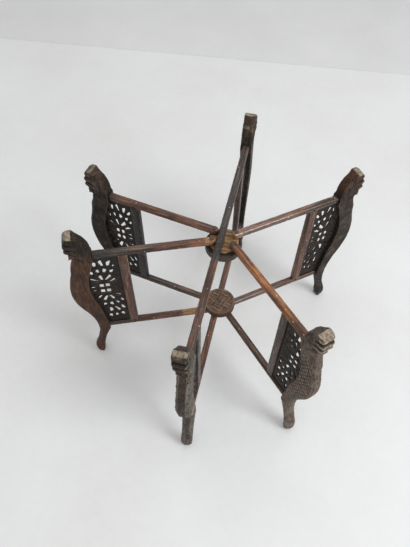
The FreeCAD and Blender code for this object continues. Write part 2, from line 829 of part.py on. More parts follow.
def upright(kind, name, diameter, bottom, top, x, y):
    """An upright rod between two levels: a round cylinder or a flat-sided prism."""
    piece = doc.addObject(kind, name)
    if kind == "Part::Prism":
        piece.Polygon = PEG_SIDES
        piece.setExpression("Circumradius", bind(f"{diameter} / 2"))
    else:
        piece.setExpression("Radius", bind(f"{diameter} / 2"))
    piece.setExpression("Height", bind(f"{top} - ({bottom})"))
    piece.setExpression("Placement.Base.x", bind(x))
    piece.setExpression("Placement.Base.y", bind(y))
    piece.setExpression("Placement.Base.z", bind(bottom))
    return piece


def group(label, pieces):
    """Separate pieces of one kind, kept under one label."""
    holder = doc.addObject("Part::Compound", label)
    holder.Links = pieces
    holder.Label = label
    return holder


def build_pins(label, is_upper):
    """Four pivot pins, pressed into a hub disc, each with a low head outside its rail."""
    if is_upper:
        low = f"{UPPER_RAIL_BOTTOM} - swing_clearance - upper_hub_thickness"
        high = f"({UPPER_RAIL_TOP} + swing_clearance)"
        head_low, head_high = high, f"{high} + pin_head_height"
    else:
        low = f"({LOWER_RAIL_BOTTOM} - swing_clearance)"
        high = f"{LOWER_RAIL_TOP} + swing_clearance + lower_pin_depth"
        head_low, head_high = f"{low} - pin_head_height", low
    pins = []
    for across in (-1, 1):
        for along in (-1, 1):
            x = f"hub_offset + {across} * pivot_across"
            y = f"{along} * pivot_along"
            name = f"{label}_{len(pins)}"
            head_name = name + "_head"
            pin = doc.addObject("Part::Fuse", name)
            pin.Base = upright("Part::Cylinder", name + "_shank", "pin_diameter", low, high, x, y)
            pin.Tool = upright("Part::Prism", head_name, "pin_head_diameter", head_low, head_high, x, y)
            pins.append(pin)
    return group(label, pins)


def build_hub_dowels(label):
    """Dowels that hold the two bars of the centre frame to the hub discs."""
    spans = {
        "upper": (f"{UPPER_RAIL_BOTTOM} - swing_clearance - dowel_depth", UPPER_RAIL_TOP),
        "lower": (LOWER_RAIL_BOTTOM, f"{LOWER_RAIL_TOP} + swing_clearance + dowel_depth"),
    }
    dowels = []
    for toward in (1, -1):
        x = f"{toward} * dowel_spacing / 2"
        for level, (low, high) in spans.items():
            name = f"{label}_{level}_{len(dowels)}"
            dowels.append(upright("Part::Prism", name, "dowel_diameter", low, high, x, "0"))
    return group(label, dowels)


def build_pegs(label):
    """The four pegs of one wing, crosswise through their tenons and just proud of the wood."""
    pegs = []
    for joint, (across, up) in peg_places().items():
        width = "leg_thickness" if joint.startswith("leg") else "rail_width"
        length = f"({width} + 2 * peg_stand)"
        peg = doc.addObject("Part::Prism", f"{label}_{joint}")
        peg.Polygon = PEG_SIDES
        peg.setExpression("Circumradius", bind("peg_diameter / 2"))
        peg.setExpression("Height", bind(length))
        peg.Placement = FreeCAD.Placement(Vector(), FreeCAD.Rotation(Vector(1, 0, 0), -90))
        peg.setExpression("Placement.Base.x", bind(across))
        peg.setExpression("Placement.Base.y", bind(f"-{length} / 2"))
        peg.setExpression("Placement.Base.z", bind(up))
        pegs.append(peg)
    return group(label, pegs)


def build_stand():
    """Every piece of the stand, in place."""
    pieces = []
    blank = build_panel_blank()
    fret = build_fret()
    for wing in list(FIXED) + list(GATES):
        members = [
            build_leg(f"leg_{wing}"),
            build_stile(f"stile_{wing}"),
            build_panel(f"panel_{wing}", blank, fret),
            build_pegs(f"joint_pegs_{wing}"),
        ]
        if wing in GATES:
            members += [build_gate_rail(f"{rail['name']}_rail_{wing}", rail) for rail in RAILS]
        for member in members:
            if wing in GATES:
                place_on_gate(member, wing)
            else:
                place_on_frame(member, FIXED[wing])
        pieces += members
    bars = [build_bar(label, rail) for rail, label in zip(RAILS, ("top_bar", "bottom_bar"))]
    bars.append(build_hub_dowels("hub_dowels"))
    for member in bars:
        place_on_frame(member, FIXED["back"])
    discs = [build_upper_hub("upper_hub_disc"), build_lower_hub("lower_hub_disc")]
    for disc in discs:
        place_on_hub(disc)
    pieces += bars + discs
    pieces.append(build_pins("upper_pivot_pins", True))
    pieces.append(build_pins("lower_pivot_pins", False))
    doc.recompute()
    return pieces


def check_and_write(pieces):
    for thing in doc.Objects:
        if "Invalid" in thing.State or "Error" in thing.State:
            raise RuntimeError(f"{thing.Name} failed: {thing.State}")
    for piece in pieces:
        if piece.Shape.isNull() or not piece.Shape.isValid():
            raise RuntimeError(f"{piece.Label} has no valid shape")
    os.makedirs("parts", exist_ok=True)
    for piece in pieces:
        piece.Shape.exportStep(f"parts/{piece.Label}.step")


check_and_write(build_stand())
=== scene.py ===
"""Looks of the folding tray stand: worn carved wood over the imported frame, one piece for each part."""

import json
import math

import bmesh
import bpy
import numpy as np
from mathutils import Matrix, Vector, kdtree


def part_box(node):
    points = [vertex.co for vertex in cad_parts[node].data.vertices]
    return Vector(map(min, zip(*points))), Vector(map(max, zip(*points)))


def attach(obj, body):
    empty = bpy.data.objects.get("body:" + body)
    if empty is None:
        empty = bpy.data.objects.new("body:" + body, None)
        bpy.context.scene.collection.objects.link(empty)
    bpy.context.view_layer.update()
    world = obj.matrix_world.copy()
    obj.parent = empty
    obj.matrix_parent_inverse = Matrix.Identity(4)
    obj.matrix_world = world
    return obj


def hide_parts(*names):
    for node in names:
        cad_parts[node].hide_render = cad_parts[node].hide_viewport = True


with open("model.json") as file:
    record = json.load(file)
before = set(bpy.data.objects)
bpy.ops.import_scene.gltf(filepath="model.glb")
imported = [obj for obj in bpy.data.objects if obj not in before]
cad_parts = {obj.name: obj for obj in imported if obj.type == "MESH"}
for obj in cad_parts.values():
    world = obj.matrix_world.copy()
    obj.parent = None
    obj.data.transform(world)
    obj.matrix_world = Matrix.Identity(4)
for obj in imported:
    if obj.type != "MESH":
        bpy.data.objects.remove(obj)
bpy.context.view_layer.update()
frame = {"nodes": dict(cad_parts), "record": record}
NODES = frame["nodes"]
RECORD = frame["record"]
MM = 0.001

WINGS = ("front", "back", "left_front", "left_back", "right_front", "right_back")
GATES = WINGS[2:]
# Reach of the tray's seats, and how fine the skin of each kind of piece is.
SEAT_REACH = 293.5 * MM
LEG_GRIT = 1.0 * MM
RAIL_GRIT = 1.3 * MM
PANEL_GRIT = 1.1 * MM
# Seeds of the uneven wear, one more for each next piece of a kind.
SEEDS = {"leg": 20, "stile": 40, "upper_rail": 50, "lower_rail": 60, "bar": 70, "upper_hub": 90,
         "lower_hub": 95}

# Each leg's look. Warmth, black and dust are (on the head, on the body): how red-brown, how black and how
# dusty the wood is. The dust is also painted light: it lies mostly on the sides, painting them paler than
# the front, as lit faces are. Pad and rolls: how bare the head's top is rubbed, and how pale the tops of
# the muzzle's rolls are, partly rubbed wood and partly a painted highlight. Front: how much of that dust
# and painted light lies on the leg's front. Lean: the head's lean sideways, in millimetres.
LEG_LOOKS = {
    "front": {"warmth": (0.1, 0.25), "black": (0.35, 0.4), "dust_and_light": (0.8, 1.5),
              "pad": 0.6, "rolls": 0.25, "front": 0.04, "lean": -4.5},
    "back": {"warmth": (0.3, 0.0), "black": (0.7, 0.6), "dust_and_light": (0.3, 0.45),
             "pad": 0.6, "rolls": 0.2, "front": 0.3},
    "left_front": {"warmth": (0.1, 0.8), "black": (0.8, 0.42), "dust_and_light": (0.1, 0.05),
                   "pad": 0.72, "rolls": 0.2, "front": 0.1},
    "left_back": {"warmth": (0.35, 0.05), "black": (0.75, 1.3), "dust_and_light": (0.3, 0.0),
                  "pad": 0.5, "rolls": 0.2, "front": 0.1},
    "right_front": {"warmth": (0.5, 0.8), "black": (0.2, 0.0), "dust_and_light": (0.6, 0.75),
                    "pad": 0.8, "rolls": 0.8, "front": 0.9},
    "right_back": {"warmth": (0.85, 0.25), "black": (0.5, 0.85), "dust_and_light": (0.25, 0.3),
                   "pad": 0.55, "rolls": 0.3, "front": 0.1},
}
LEG_TONES = ("warmth", "black", "dust_and_light")


# Node trees

def add_node(tree, kind, sockets, **settings):
    """Adds a node: its settings first, then the values or links of its sockets."""
    made = tree.nodes.new(kind)
    for name, value in settings.items():
        setattr(made, name, value)
    for key, value in sockets.items():
        if isinstance(value, bpy.types.NodeSocket):
            tree.links.new(value, made.inputs[key])
        else:
            made.inputs[key].default_value = value
    return made


def sum_rule(operation, swapped=False):
    """An operator of Shade."""
    def rule(self, other):
        first, second = (other, self) if swapped else (self, other)
        return self.finish.node("ShaderNodeMath", {0: first, 1: second}, operation=operation)
    return rule


class Shade:
    """A shader value that takes part in sums: each operator adds one Math node."""

    def __init__(self, finish, socket):
        self.finish = finish
        self.socket = socket

    __add__, __radd__ = sum_rule("ADD"), sum_rule("ADD", swapped=True)
    __sub__, __rsub__ = sum_rule("SUBTRACT"), sum_rule("SUBTRACT", swapped=True)
    __mul__, __rmul__ = sum_rule("MULTIPLY"), sum_rule("MULTIPLY", swapped=True)


def tone(red, green, blue):
    """A colour as it looks on screen, 0 to 255, as the linear colour a shader takes."""
    linear = []
    for level in (red, green, blue):
        share = level / 255
        linear.append(share / 12.92 if share <= 0.04045 else ((share + 0.055) / 1.055) ** 2.4)
    return (*linear, 1.0)


class Finish:
    """One procedural material. Its colour is built up by laying one tone over another."""

    def __init__(self, name):
        self.material = bpy.data.materials.new(name)
        self.material.use_nodes = True
        self.tree = self.material.node_tree
        self.tree.nodes.clear()
        self.colour = None
        self.place = self.node("ShaderNodeTexCoord", {}, "Object")

    def node(self, kind, sockets, out=0, **settings):
        given = {key: value.socket if isinstance(value, Shade) else value for key, value in sockets.items()}
        made = add_node(self.tree, kind, given, **settings)
        return Shade(self, made.outputs[out]) if made.outputs else None

    def mark(self, name, out="Fac"):
        return self.node("ShaderNodeAttribute", {}, out, attribute_name=name)

    def stretched(self, vector, along):
        return self.node("ShaderNodeVectorMath", {0: vector, 1: along}, operation="MULTIPLY")

    def cloud(self, vector, scale, detail=4.0, rough=0.55):
        sockets = {"Vector": vector, "Scale": scale, "Detail": detail, "Roughness": rough}
        return self.node("ShaderNodeTexNoise", sockets)

    def cells(self, vector, scale):
        return self.node("ShaderNodeTexVoronoi", {"Vector": vector, "Scale": scale}, "Distance")

    def step(self, value, low, high):
        """0 below low, 1 above high, smooth between."""
        sockets = {"Value": value, "From Min": low, "From Max": high}
        return self.node("ShaderNodeMapRange", sockets, interpolation_type="SMOOTHSTEP")

    def mix(self, share, first, second):
        return self.node("ShaderNodeMix", {0: share, 6: first, 7: second}, 2, data_type="RGBA")

    def lay(self, share, over):
        """Lays a tone or a shade over the colour so far."""
        self.colour = self.mix(share, self.colour, tone(*over) if isinstance(over, tuple) else over)

    def ramp(self, value, *stops):
        """A blend of tones: each stop is its place and the tone's red, green and blue."""
        made = add_node(self.tree, "ShaderNodeValToRGB", {"Fac": value.socket})
        elements = made.color_ramp.elements
        while len(elements) < len(stops):
            elements.new(1.0)
        for element, (place, *levels) in zip(elements, stops):
            element.position = place
            element.color = tone(*levels)
        return Shade(self, made.outputs[0])

    def surface(self, roughness, height, depth=0.3 * MM, strength=0.6, metallic=0.0, gloss=0.5, coat=0.0):
        bump = self.node("ShaderNodeBump", {"Height": height, "Distance": depth, "Strength": strength})
        shader = self.node("ShaderNodeBsdfPrincipled", {
            "Base Color": self.colour, "Roughness": roughness, "Metallic": metallic, "Coat Weight": coat,
            "Coat Roughness": 0.2, "Specular IOR Level": gloss, "Normal": bump})
        self.node("ShaderNodeOutputMaterial", {"Surface": shader})
        return self.material


# Finishes

def carved_wood():
    """Near-black carved legs: upright grain, warm chests, grey dust that is also painted light on the
    sides, painted shade in the grooves, pale worn edges, and painted highlights on the rolls' tops and
    scales' tips.
    """
    f = Finish("carved_wood")
    edge = f.mark("edge")
    dust_and_light = f.mark("dust_and_light")
    grain = f.cloud(f.stretched(f.place, (1.0, 1.0, 0.07)), 420.0, 5.0, 0.6)
    blotch = f.cloud(f.place, 30.0, 3.0)
    chips = f.cloud(f.place, 460.0, 3.0, 0.65)
    patch = f.cloud(f.place, 75.0, 4.0, 0.6)
    f.colour = f.ramp(grain, (0.32, 24, 21, 19), (0.5, 53, 45, 39), (0.7, 96, 82, 71))
    red = f.step(blotch + (grain - 0.5) * 0.5, 0.22, 0.62) * f.mark("warmth")
    f.lay(red * 0.85, f.ramp(grain, (0.3, 54, 35, 25), (0.7, 122, 81, 55)))
    # Grey dust and painted light in one: paler on the leg's sides than on its front, as lit faces are.
    grey = f.step(patch + (grain - 0.5) * 0.7, 0.25, 0.7) * dust_and_light
    f.lay(grey * 0.8, (134, 128, 120))
    black = f.step(blotch + (patch - 0.5) * 0.5, 0.8, 0.4) * f.mark("black")
    f.lay(black * 0.88, (25, 23, 21))
    # Painted shade: darker in creases, grooves and cut lines.
    crease_shade = f.step(edge * -1.0, 0.08, 0.5)
    f.lay(crease_shade * 0.88, (17, 14, 12))
    # Pale rubbed arrises; on the scales' tips the same pale is a painted highlight.
    rubbed = f.step(edge + (chips - 0.5) * 0.9, 0.22, 0.7)
    f.lay(rubbed * (0.36 + 0.35 * dust_and_light), (160, 142, 122))
    fleck = f.step(chips, 0.6, 0.68) * (0.15 + 0.55 * dust_and_light)
    f.lay(fleck, (152, 136, 118))
    # Bare pads and patches, and the rolls' pale tops, which are partly a painted highlight.
    bare = f.step(f.mark("worn") + (patch - 0.5) * 0.8, 0.3, 0.7)
    pad = f.ramp(f.cloud(f.place, 210.0, 4.0, 0.65),
                 (0.34, 108, 95, 79), (0.5, 148, 135, 117), (0.66, 178, 166, 147))
    f.lay(bare, pad)
    # Painted shade in the grooves under the muzzle's rolls.
    f.lay(f.mark("groove_shade") * 0.94, (13, 11, 10))
    rough = 0.45 + 0.22 * patch + 0.14 * grey
    height = grain * 0.5 + chips * 0.35
    return f.surface(rough, height, depth=0.6 * MM, strength=0.6, gloss=0.12)


def panel_wood():
    """Near-black pierced panels with a scratched outline round each hole."""
    f = Finish("panel_wood")
    edge = f.mark("edge")
    rim = f.mark("rim")
    grain = f.cloud(f.stretched(f.place, (1.0, 1.0, 0.08)), 380.0, 4.0, 0.6)
    patch = f.cloud(f.place, 60.0)
    f.colour = f.ramp(grain, (0.3, 20, 18, 17), (0.6, 38, 33, 30), (0.85, 60, 52, 46))
    f.lay(f.step(patch, 0.45, 0.75) * 0.5, (72, 52, 42))
    line = f.step(rim, 1.5 * MM, 2.0 * MM) * (1 - f.step(rim, 2.3 * MM, 2.9 * MM))
    f.lay(line * 0.8, (15, 13, 12))
    rubbed = f.step(edge + (patch - 0.5) * 0.6, 0.15, 0.7)
    f.lay(rubbed * 0.42, (122, 106, 92))
    rough = 0.42 + 0.2 * patch
    height = grain * 0.35 - line * 1.2
    return f.surface(rough, height, depth=0.6 * MM, strength=0.7, gloss=0.18)


def rubbed_rail(name, dark, middle, light):
    """Red-brown rails: long grain, dark streaks and patches, a rubbed glow, pale arrises and specks."""
    f = Finish(name)
    edge = f.mark("edge")
    along = f.mark("along", out="Vector")
    grain = f.cloud(along, 330.0, 5.0, 0.6)
    streak = f.cloud(along, 95.0, 4.0, 0.6)
    blotch = f.cloud(f.place, 38.0, 4.0, 0.6)
    chips = f.cloud(f.place, 400.0, 3.0, 0.7)
    f.colour = f.ramp(grain, (0.36, *dark), (0.5, *middle), (0.66, *light))
    glow = f.ramp(grain, (0.36, 98, 58, 32), (0.5, 150, 95, 54), (0.66, 194, 136, 86))
    f.lay(f.step(blotch + (grain - 0.5) * 0.4, 0.25, 0.6) * f.mark("glow"), glow)
    dusk = f.ramp(grain, (0.36, 28, 25, 23), (0.52, 58, 52, 47), (0.68, 104, 95, 87))
    f.lay(f.step(blotch * -1.0 + f.mark("dusk") + (grain - 0.5) * 0.3, -0.42, 0.3), dusk)
    f.lay(f.step(f.mark("dusk"), 0.9, 1.6) * 0.92, (28, 26, 24))
    f.lay(f.step(streak, 0.5, 0.64) * 0.8, (38, 27, 22))
    bare = f.ramp(grain * 0.5 + chips * 0.5,
                  (0.38, 66, 44, 28), (0.5, 128, 90, 56), (0.62, 180, 146, 102))
    f.lay(f.step(f.mark("bare") + (blotch - 0.5) * 0.8, 0.35, 0.65), bare)
    rubbed = f.step(edge + (chips - 0.5) * 0.9 + (streak - 0.5) * 0.9, 0.35, 0.9)
    f.lay(rubbed * 0.55, (180, 152, 126))
    fleck = f.step(chips, 0.63, 0.7)
    f.lay(fleck * 0.65, (186, 162, 138))
    speck = f.step(f.cells(f.place, 75.0), 0.11, 0.06)
    f.lay(speck * 0.8, (206, 196, 182))
    # Painted shade: darker in creases and hollows.
    crease_shade = f.step(edge * -1.0, 0.12, 0.6)
    f.lay(crease_shade * 0.8, (22, 18, 16))
    polish = f.mark("polish")
    rough = 0.22 + 0.3 * blotch - 0.1 * polish
    height = grain * 0.5 + chips * 0.3
    return f.surface(rough, height, strength=0.35, gloss=0.32, coat=polish)


def hub_wood(name, raw_stops, side_dark, side_light, stain):
    """Turned hub: a marked top of one tone, stained in patches, and dark sides."""
    f = Finish(name)
    edge = f.mark("edge")
    grain = f.cloud(f.stretched(f.place, (0.12, 1.0, 1.0)), 300.0, 5.0, 0.62)
    blotch = f.cloud(f.place, 62.0, 4.0, 0.6)
    chips = f.cloud(f.place, 420.0, 3.0, 0.65)
    side = f.ramp(grain, (0.3, *side_dark), (0.75, *side_light))
    top = f.ramp(grain * 0.55 + blotch * 0.45, *raw_stops)
    top = f.mix(f.step(blotch + (chips - 0.5) * 0.5, 0.5, 0.62) * stain, top, tone(96, 64, 42))
    f.colour = f.mix(f.step(f.mark("raw") + (blotch - 0.5) * 0.3, 0.4, 0.6), side, top)
    # Painted shade: darker in creases, the gap between the drums and the cut lines.
    crease_shade = f.step(edge * -1.0, 0.06, 0.4)
    f.lay(crease_shade * 0.9, (26, 20, 17))
    rubbed = f.step(edge + (chips - 0.5) * 0.8, 0.25, 0.75)
    f.lay(rubbed * 0.4, (156, 124, 92))
    rough = 0.5 + 0.25 * blotch
    height = grain * 0.5 + chips * 0.3
    return f.surface(rough, height, depth=0.4 * MM, strength=0.5, gloss=0.25)


def peg_wood():
    """Dark pegs and dowels."""
    f = Finish("peg_wood")
    grain = f.cloud(f.place, 700.0, 4.0, 0.6)
    blotch = f.cloud(f.place, 60.0, 3.0)
    f.colour = f.ramp(grain, (0.3, 40, 32, 27), (0.7, 86, 68, 54))
    f.lay(f.step(blotch, 0.45, 0.65) * 0.7, (36, 29, 25))
    return f.surface(0.5 + 0.2 * blotch, grain)


def pin_iron():
    """Old iron pins, rusted about as brown as the rails."""
    f = Finish("pin_iron")
    pits = f.cloud(f.place, 900.0, 4.0, 0.6)
    rust = f.step(f.cloud(f.place, 160.0, 3.0), 0.3, 0.6)
    brown = f.ramp(pits, (0.35, 58, 40, 31), (0.7, 104, 70, 50))
    f.colour = f.mix(rust, tone(60, 50, 44), brown)
    return f.surface(0.5 + 0.25 * rust, pits, depth=0.2 * MM, metallic=0.4 - 0.4 * rust)


def pale_ground(name, low, high):
    """Plain pale floor with faint smudges."""
    f = Finish(name)
    smudge = f.cloud(f.place, 2.2, 4.0, 0.6)
    grit = f.cloud(f.place, 60.0, 3.0)
    f.colour = f.ramp(smudge * 0.8 + grit * 0.2, (0.3, *low), (0.7, *high))
    return f.surface(0.75 + 0.1 * smudge, grit, depth=0.2 * MM, strength=0.2, gloss=0.2)


# Mesh handling

def points_of(mesh):
    spots = np.empty(len(mesh.vertices) * 3)
    mesh.vertices.foreach_get("co", spots)
    return spots.reshape(-1, 3)


def set_points(mesh, spots):
    mesh.vertices.foreach_set("co", spots.ravel())
    mesh.update()


def normals_of(mesh):
    normals = np.empty(len(mesh.vertices) * 3)
    mesh.vertex_normals.foreach_get("vector", normals)
    return normals.reshape(-1, 3)


def edges_of(mesh):
    ends = np.empty(len(mesh.edges) * 2, dtype=np.int64)
    mesh.edges.foreach_get("vertices", ends)
    return ends.reshape(-1, 2)


def mark_points(mesh, name, values):
    """Keeps a number for each point on the mesh, for its finish to read."""
    held = mesh.attributes.get(name) or mesh.attributes.new(name, "FLOAT", "POINT")
    held.data.foreach_set("value", np.broadcast_to(values, len(mesh.vertices)).astype(np.float32))


def marks_of(mesh, name):
    values = np.empty(len(mesh.vertices))
    mesh.attributes[name].data.foreach_get("value", values)
    return values


def mark_vectors(mesh, name, spots):
    held = mesh.attributes.get(name) or mesh.attributes.new(name, "FLOAT_VECTOR", "POINT")
    held.data.foreach_set("vector", spots.astype(np.float32).ravel())


def spread(values, ends, rounds):
    """Evens out a number over neighbouring points."""
    count = 1 + np.bincount(ends.ravel(), minlength=len(values))
    for _ in range(rounds):
        total = values + np.bincount(ends[:, 0], values[ends[:, 1]], len(values))
        total += np.bincount(ends[:, 1], values[ends[:, 0]], len(values))
        values = total / count
    return values


def mark_edges(mesh, full=0.22):
    """Keeps how far each point stands out: 1 on a sharp arris, -1 in a sharp groove."""
    spots = points_of(mesh)
    normals = normals_of(mesh)
    ends = edges_of(mesh)
    lines = spots[ends[:, 0]] - spots[ends[:, 1]]
    lines /= np.maximum(np.linalg.norm(lines, axis=1), 1e-9)[:, None]
    total = np.zeros(len(spots))
    count = np.zeros(len(spots))
    np.add.at(total, ends[:, 0], np.einsum("ij,ij->i", normals[ends[:, 0]], lines))
    np.add.at(total, ends[:, 1], -np.einsum("ij,ij->i", normals[ends[:, 1]], lines))
    np.add.at(count, ends.ravel(), 1)
    stand = spread(total / np.maximum(count, 1), ends, 2)
    mark_points(mesh, "edge", np.clip(stand / full, -1, 1))


def ease(value, low, high):
    """0 at low, 1 at high, smooth between."""
    share = np.clip((value - low) / (high - low), 0, 1)
    return share * share * (3 - 2 * share)


def bell(value, middle, width):
    """1 at the middle, fading to both sides over the width."""
    return np.exp(-((value - middle) / width) ** 2)


def ripple(spots, size, seed):
    """A smooth uneven number from about -1 to 1 for each point, with bumps of that size."""
    chance = np.random.default_rng(seed)
    total = np.zeros(len(spots))
    waves = 7
    for _ in range(waves):
        way = chance.normal(size=3)
        way *= chance.uniform(0.6, 1.5) * 2 * math.pi / (size * np.linalg.norm(way))
        total += np.sin(spots @ way + chance.uniform(0, 2 * math.pi))
    return total / math.sqrt(waves)


def wear(spots, seed, *layers):
    """How deep each point is worn: layers of (depth, size of the bumps) in millimetres."""
    return sum(depth * MM * np.abs(ripple(spots, size * MM, seed + number))
               for number, (depth, size) in enumerate(layers))


def sink_in(mesh, depth):
    """Moves each point in by its own depth."""
    set_points(mesh, points_of(mesh) - normals_of(mesh) * depth[:, None])


def new_mesh(name, spots, faces):
    mesh = bpy.data.meshes.new(name)
    mesh.from_pydata(spots, [], faces)
    return mesh


def new_object(name, data):
    made = bpy.data.objects.new(name, data)
    bpy.context.scene.collection.objects.link(made)
    return made


def drop(made):
    mesh = made.data
    bpy.data.objects.remove(made)
    bpy.data.meshes.remove(mesh)


def settled(made):
    """The object's mesh with its modifiers worked in."""
    ready = made.evaluated_get(bpy.context.evaluated_depsgraph_get())
    return bpy.data.meshes.new_from_object(ready)


def merged_copy(node, matrix):
    """A merged copy of a CAD node's mesh, laid in the frame that matrix gives."""
    work = bmesh.new()
    work.from_mesh(NODES[node].data)
    bmesh.ops.remove_doubles(work, verts=work.verts, dist=1e-5)
    work.transform(matrix.inverted())
    work.verts.index_update()
    spots = [tuple(vert.co) for vert in work.verts]
    faces = [[vert.index for vert in face.verts] for face in work.faces]
    work.free()
    return new_mesh(node + "_copy", spots, faces)


def worked_skin(node, matrix, grit, softness):
    """A CAD node's shape with an even skin and softened arrises, in the frame that matrix gives."""
    made = new_object(node + "_skin", merged_copy(node, matrix))
    skin = made.modifiers.new("skin", "REMESH")
    skin.mode = "VOXEL"
    skin.voxel_size = grit
    soften = made.modifiers.new("soften", "SMOOTH")
    soften.factor = 0.5
    soften.iterations = softness
    mesh = settled(made)
    drop(made)
    return mesh


# Where each wing stands

def wing_matrices():
    """For each wing, the matrix from its own frame (reach along X from the hub) to the stand's."""
    pivots = {joint["child"]: Vector(joint["pos_m"]) for joint in RECORD["behaviour"]["joints"]}
    seats = {mount["name"]: Vector(mount["pos_m"]) for mount in RECORD["mounts"]}
    middle = (seats["tray_seat_front"] + seats["tray_seat_back"]) / 2
    matrices = {}
    for wing in WINGS:
        seat = seats["tray_seat_" + wing]
        way = seat - pivots.get("gate_" + wing, middle)
        turn = math.atan2(way.y, way.x)
        way = Vector((math.cos(turn), math.sin(turn), 0))
        foot = Vector((seat.x, seat.y, 0)) - SEAT_REACH * way
        matrices[wing] = Matrix.Translation(foot) @ Matrix.Rotation(turn, 4, "Z")
    return matrices


FRAMES = wing_matrices()
HUB = sum((Vector(joint["pos_m"]) for joint in RECORD["behaviour"]["joints"]), Vector()) / len(GATES)


def set_piece(name, mesh, matrix, body, node, finish):
    """Stands a finished mesh in place of its CAD node, if it has one."""
    placed = mesh.copy()
    placed.transform(matrix)
    placed.materials.clear()
    placed.materials.append(finish)
    placed.shade_smooth()
    piece = new_object(name, placed)
    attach(piece, body)
    if node:
        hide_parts(node)


def set_on_wing(wing, name, mesh, node, finish):
    """Stands a mesh made in a wing's frame on that wing. Its name and its node's end with the wing's."""
    body = "gate_" + wing if wing in GATES else "centre_frame"
    set_piece(name + wing, mesh, FRAMES[wing], body, node + wing if node else None, finish)


# Carving of a leg, in its wing's frame

def bow(start, pull, end, steps=10):
    """Points along a curve from start to end, drawn towards pull."""
    share = np.linspace(0, 1, steps)[:, None]
    start, pull, end = (np.array(spot) * MM for spot in (start, pull, end))
    return (1 - share) ** 2 * start + 2 * share * (1 - share) * pull + share ** 2 * end


def gouge(reach, height, path, width):
    """How much of a gouge's cut each point gets: 1 on the path, fading over the width."""
    spots = np.column_stack((reach, height))
    nearest = np.full(len(spots), 1.0)
    for start, end in zip(path, path[1:]):
        run = end - start
        share = np.clip((spots - start) @ run / (run @ run), 0, 1)
        nearest = np.minimum(nearest, np.linalg.norm(spots - start - share[:, None] * run, axis=1))
    return bell(nearest, 0, width)


# Lines cut in the head's sides, as (depth, width, paths) in millimetres: cheeks, mane and jaw.
HEAD_CUTS = (
    (2.2, 1.5, (bow((304, 444.3), (295, 444.5), (288.5, 438)),
                bow((304, 430.3), (295, 430.5), (288, 423)),
                bow((304, 416.5), (296, 416.5), (289.5, 409)))),
    (1.0, 1.1, (bow((287, 456), (276, 446), (268, 418)),
                bow((283, 447), (276, 438), (270.5, 412)),
                bow((281, 436), (277, 428), (274, 408)))),
    (1.6, 1.4, (bow((302, 402), (286, 402), (278, 390)),)),
)
# The eye's (reach, height), its ring's radius, width and depth, and its ball's width and height.
EYE = (285.5 * MM, 446.5 * MM)
EYE_RING = (3.6 * MM, 1.1 * MM, 1.0 * MM)
EYE_BALL = (2.0 * MM, 0.6 * MM)

# Heights of the muzzle's rolls and of the grooves under them, in millimetres.
ROLL_HEIGHTS = (451.5, 437.2, 423.2)
GROOVE_HEIGHTS = (444.3, 430.3, 416.5)
# The rolls' reach (begun, full), width and swell (sides, front), the grooves' width and depth, and the rise
# and width of the pale rub on rolls, partly a painted highlight, and of the painted shade in grooves.
ROLL_REACH = (291 * MM, 297 * MM)
ROLL_WIDTH = 4.2 * MM
ROLL_SWELL = (1.1 * MM, 1.2 * MM)
GROOVE_WIDTH = 2.2 * MM
GROOVE_DEPTH = 1.5 * MM
ROLL_RUB_AND_HIGHLIGHT = (1, 3.0 * MM)
GROOVE_SHADE = (-1, 2.0 * MM)

# Heights between which each change on a leg comes in, in millimetres: none at the first, all at the other.
LEG_FADES = {
    "sole": (18, 0), "toes": (14, 4), "foot": (125, 60), "ankle_dust": (140, 90), "chest_foot": (165, 240),
    "chest_top": (396, 350), "lean": (385, 460), "head_swell": (385, 425), "nape_foot": (396, 410),
    "head_look": (396, 422), "nape_top": (461, 450), "crown": (441, 452), "pad": (451, 455),
}
# How far the chest spreads, the neck is filled and the beard trimmed, and the last two's (height, spread).
CHEST_SPREAD = 7 * MM
NECK_FILL = 7.5 * MM
NECK = (358 * MM, 22 * MM)
BEARD_TRIM = 3.0 * MM
BEARD = (399 * MM, 8 * MM)
# The foot's spread, what its sole loses, how much of that the heel does, its breadth and its rounding.
FOOT_SPREAD = 1.0 * MM
SOLE_TUCK = 0.2
HEEL_SHARE = 0.3
FOOT_BREADTH = 0.97
FOOT_ROUNDING = 0.85
# Easing of the front and the nape, the head's added breadth, and the least depth of leg reckoned with.
EASED_WIDTH = 9 * MM
FRONT_ROUNDING = 0.24
NAPE_ROUNDING = 0.6
HEAD_SWELL = 0.07
LEAST_DEPTH = 12 * MM


def fade(height, name):
    """How far the change of that name has come in at each height on a leg."""
    first, second = LEG_FADES[name]
    return ease(height, first * MM, second * MM)


def leg_edges(spots, band=2 * MM, evened=7):
    """For each point, the leg's outer and inner reach at its height."""
    level = np.floor(spots[:, 2] / band).astype(int).clip(0)
    outer = np.full(level.max() + 1, 0.0)
    inner = np.full(level.max() + 1, 1.0)
    np.maximum.at(outer, level, spots[:, 0])
    np.minimum.at(inner, level, spots[:, 0])
    even = np.ones(evened) / evened
    return [np.convolve(np.pad(edge, evened // 2, "edge"), even, "valid")[level] for edge in (outer, inner)]


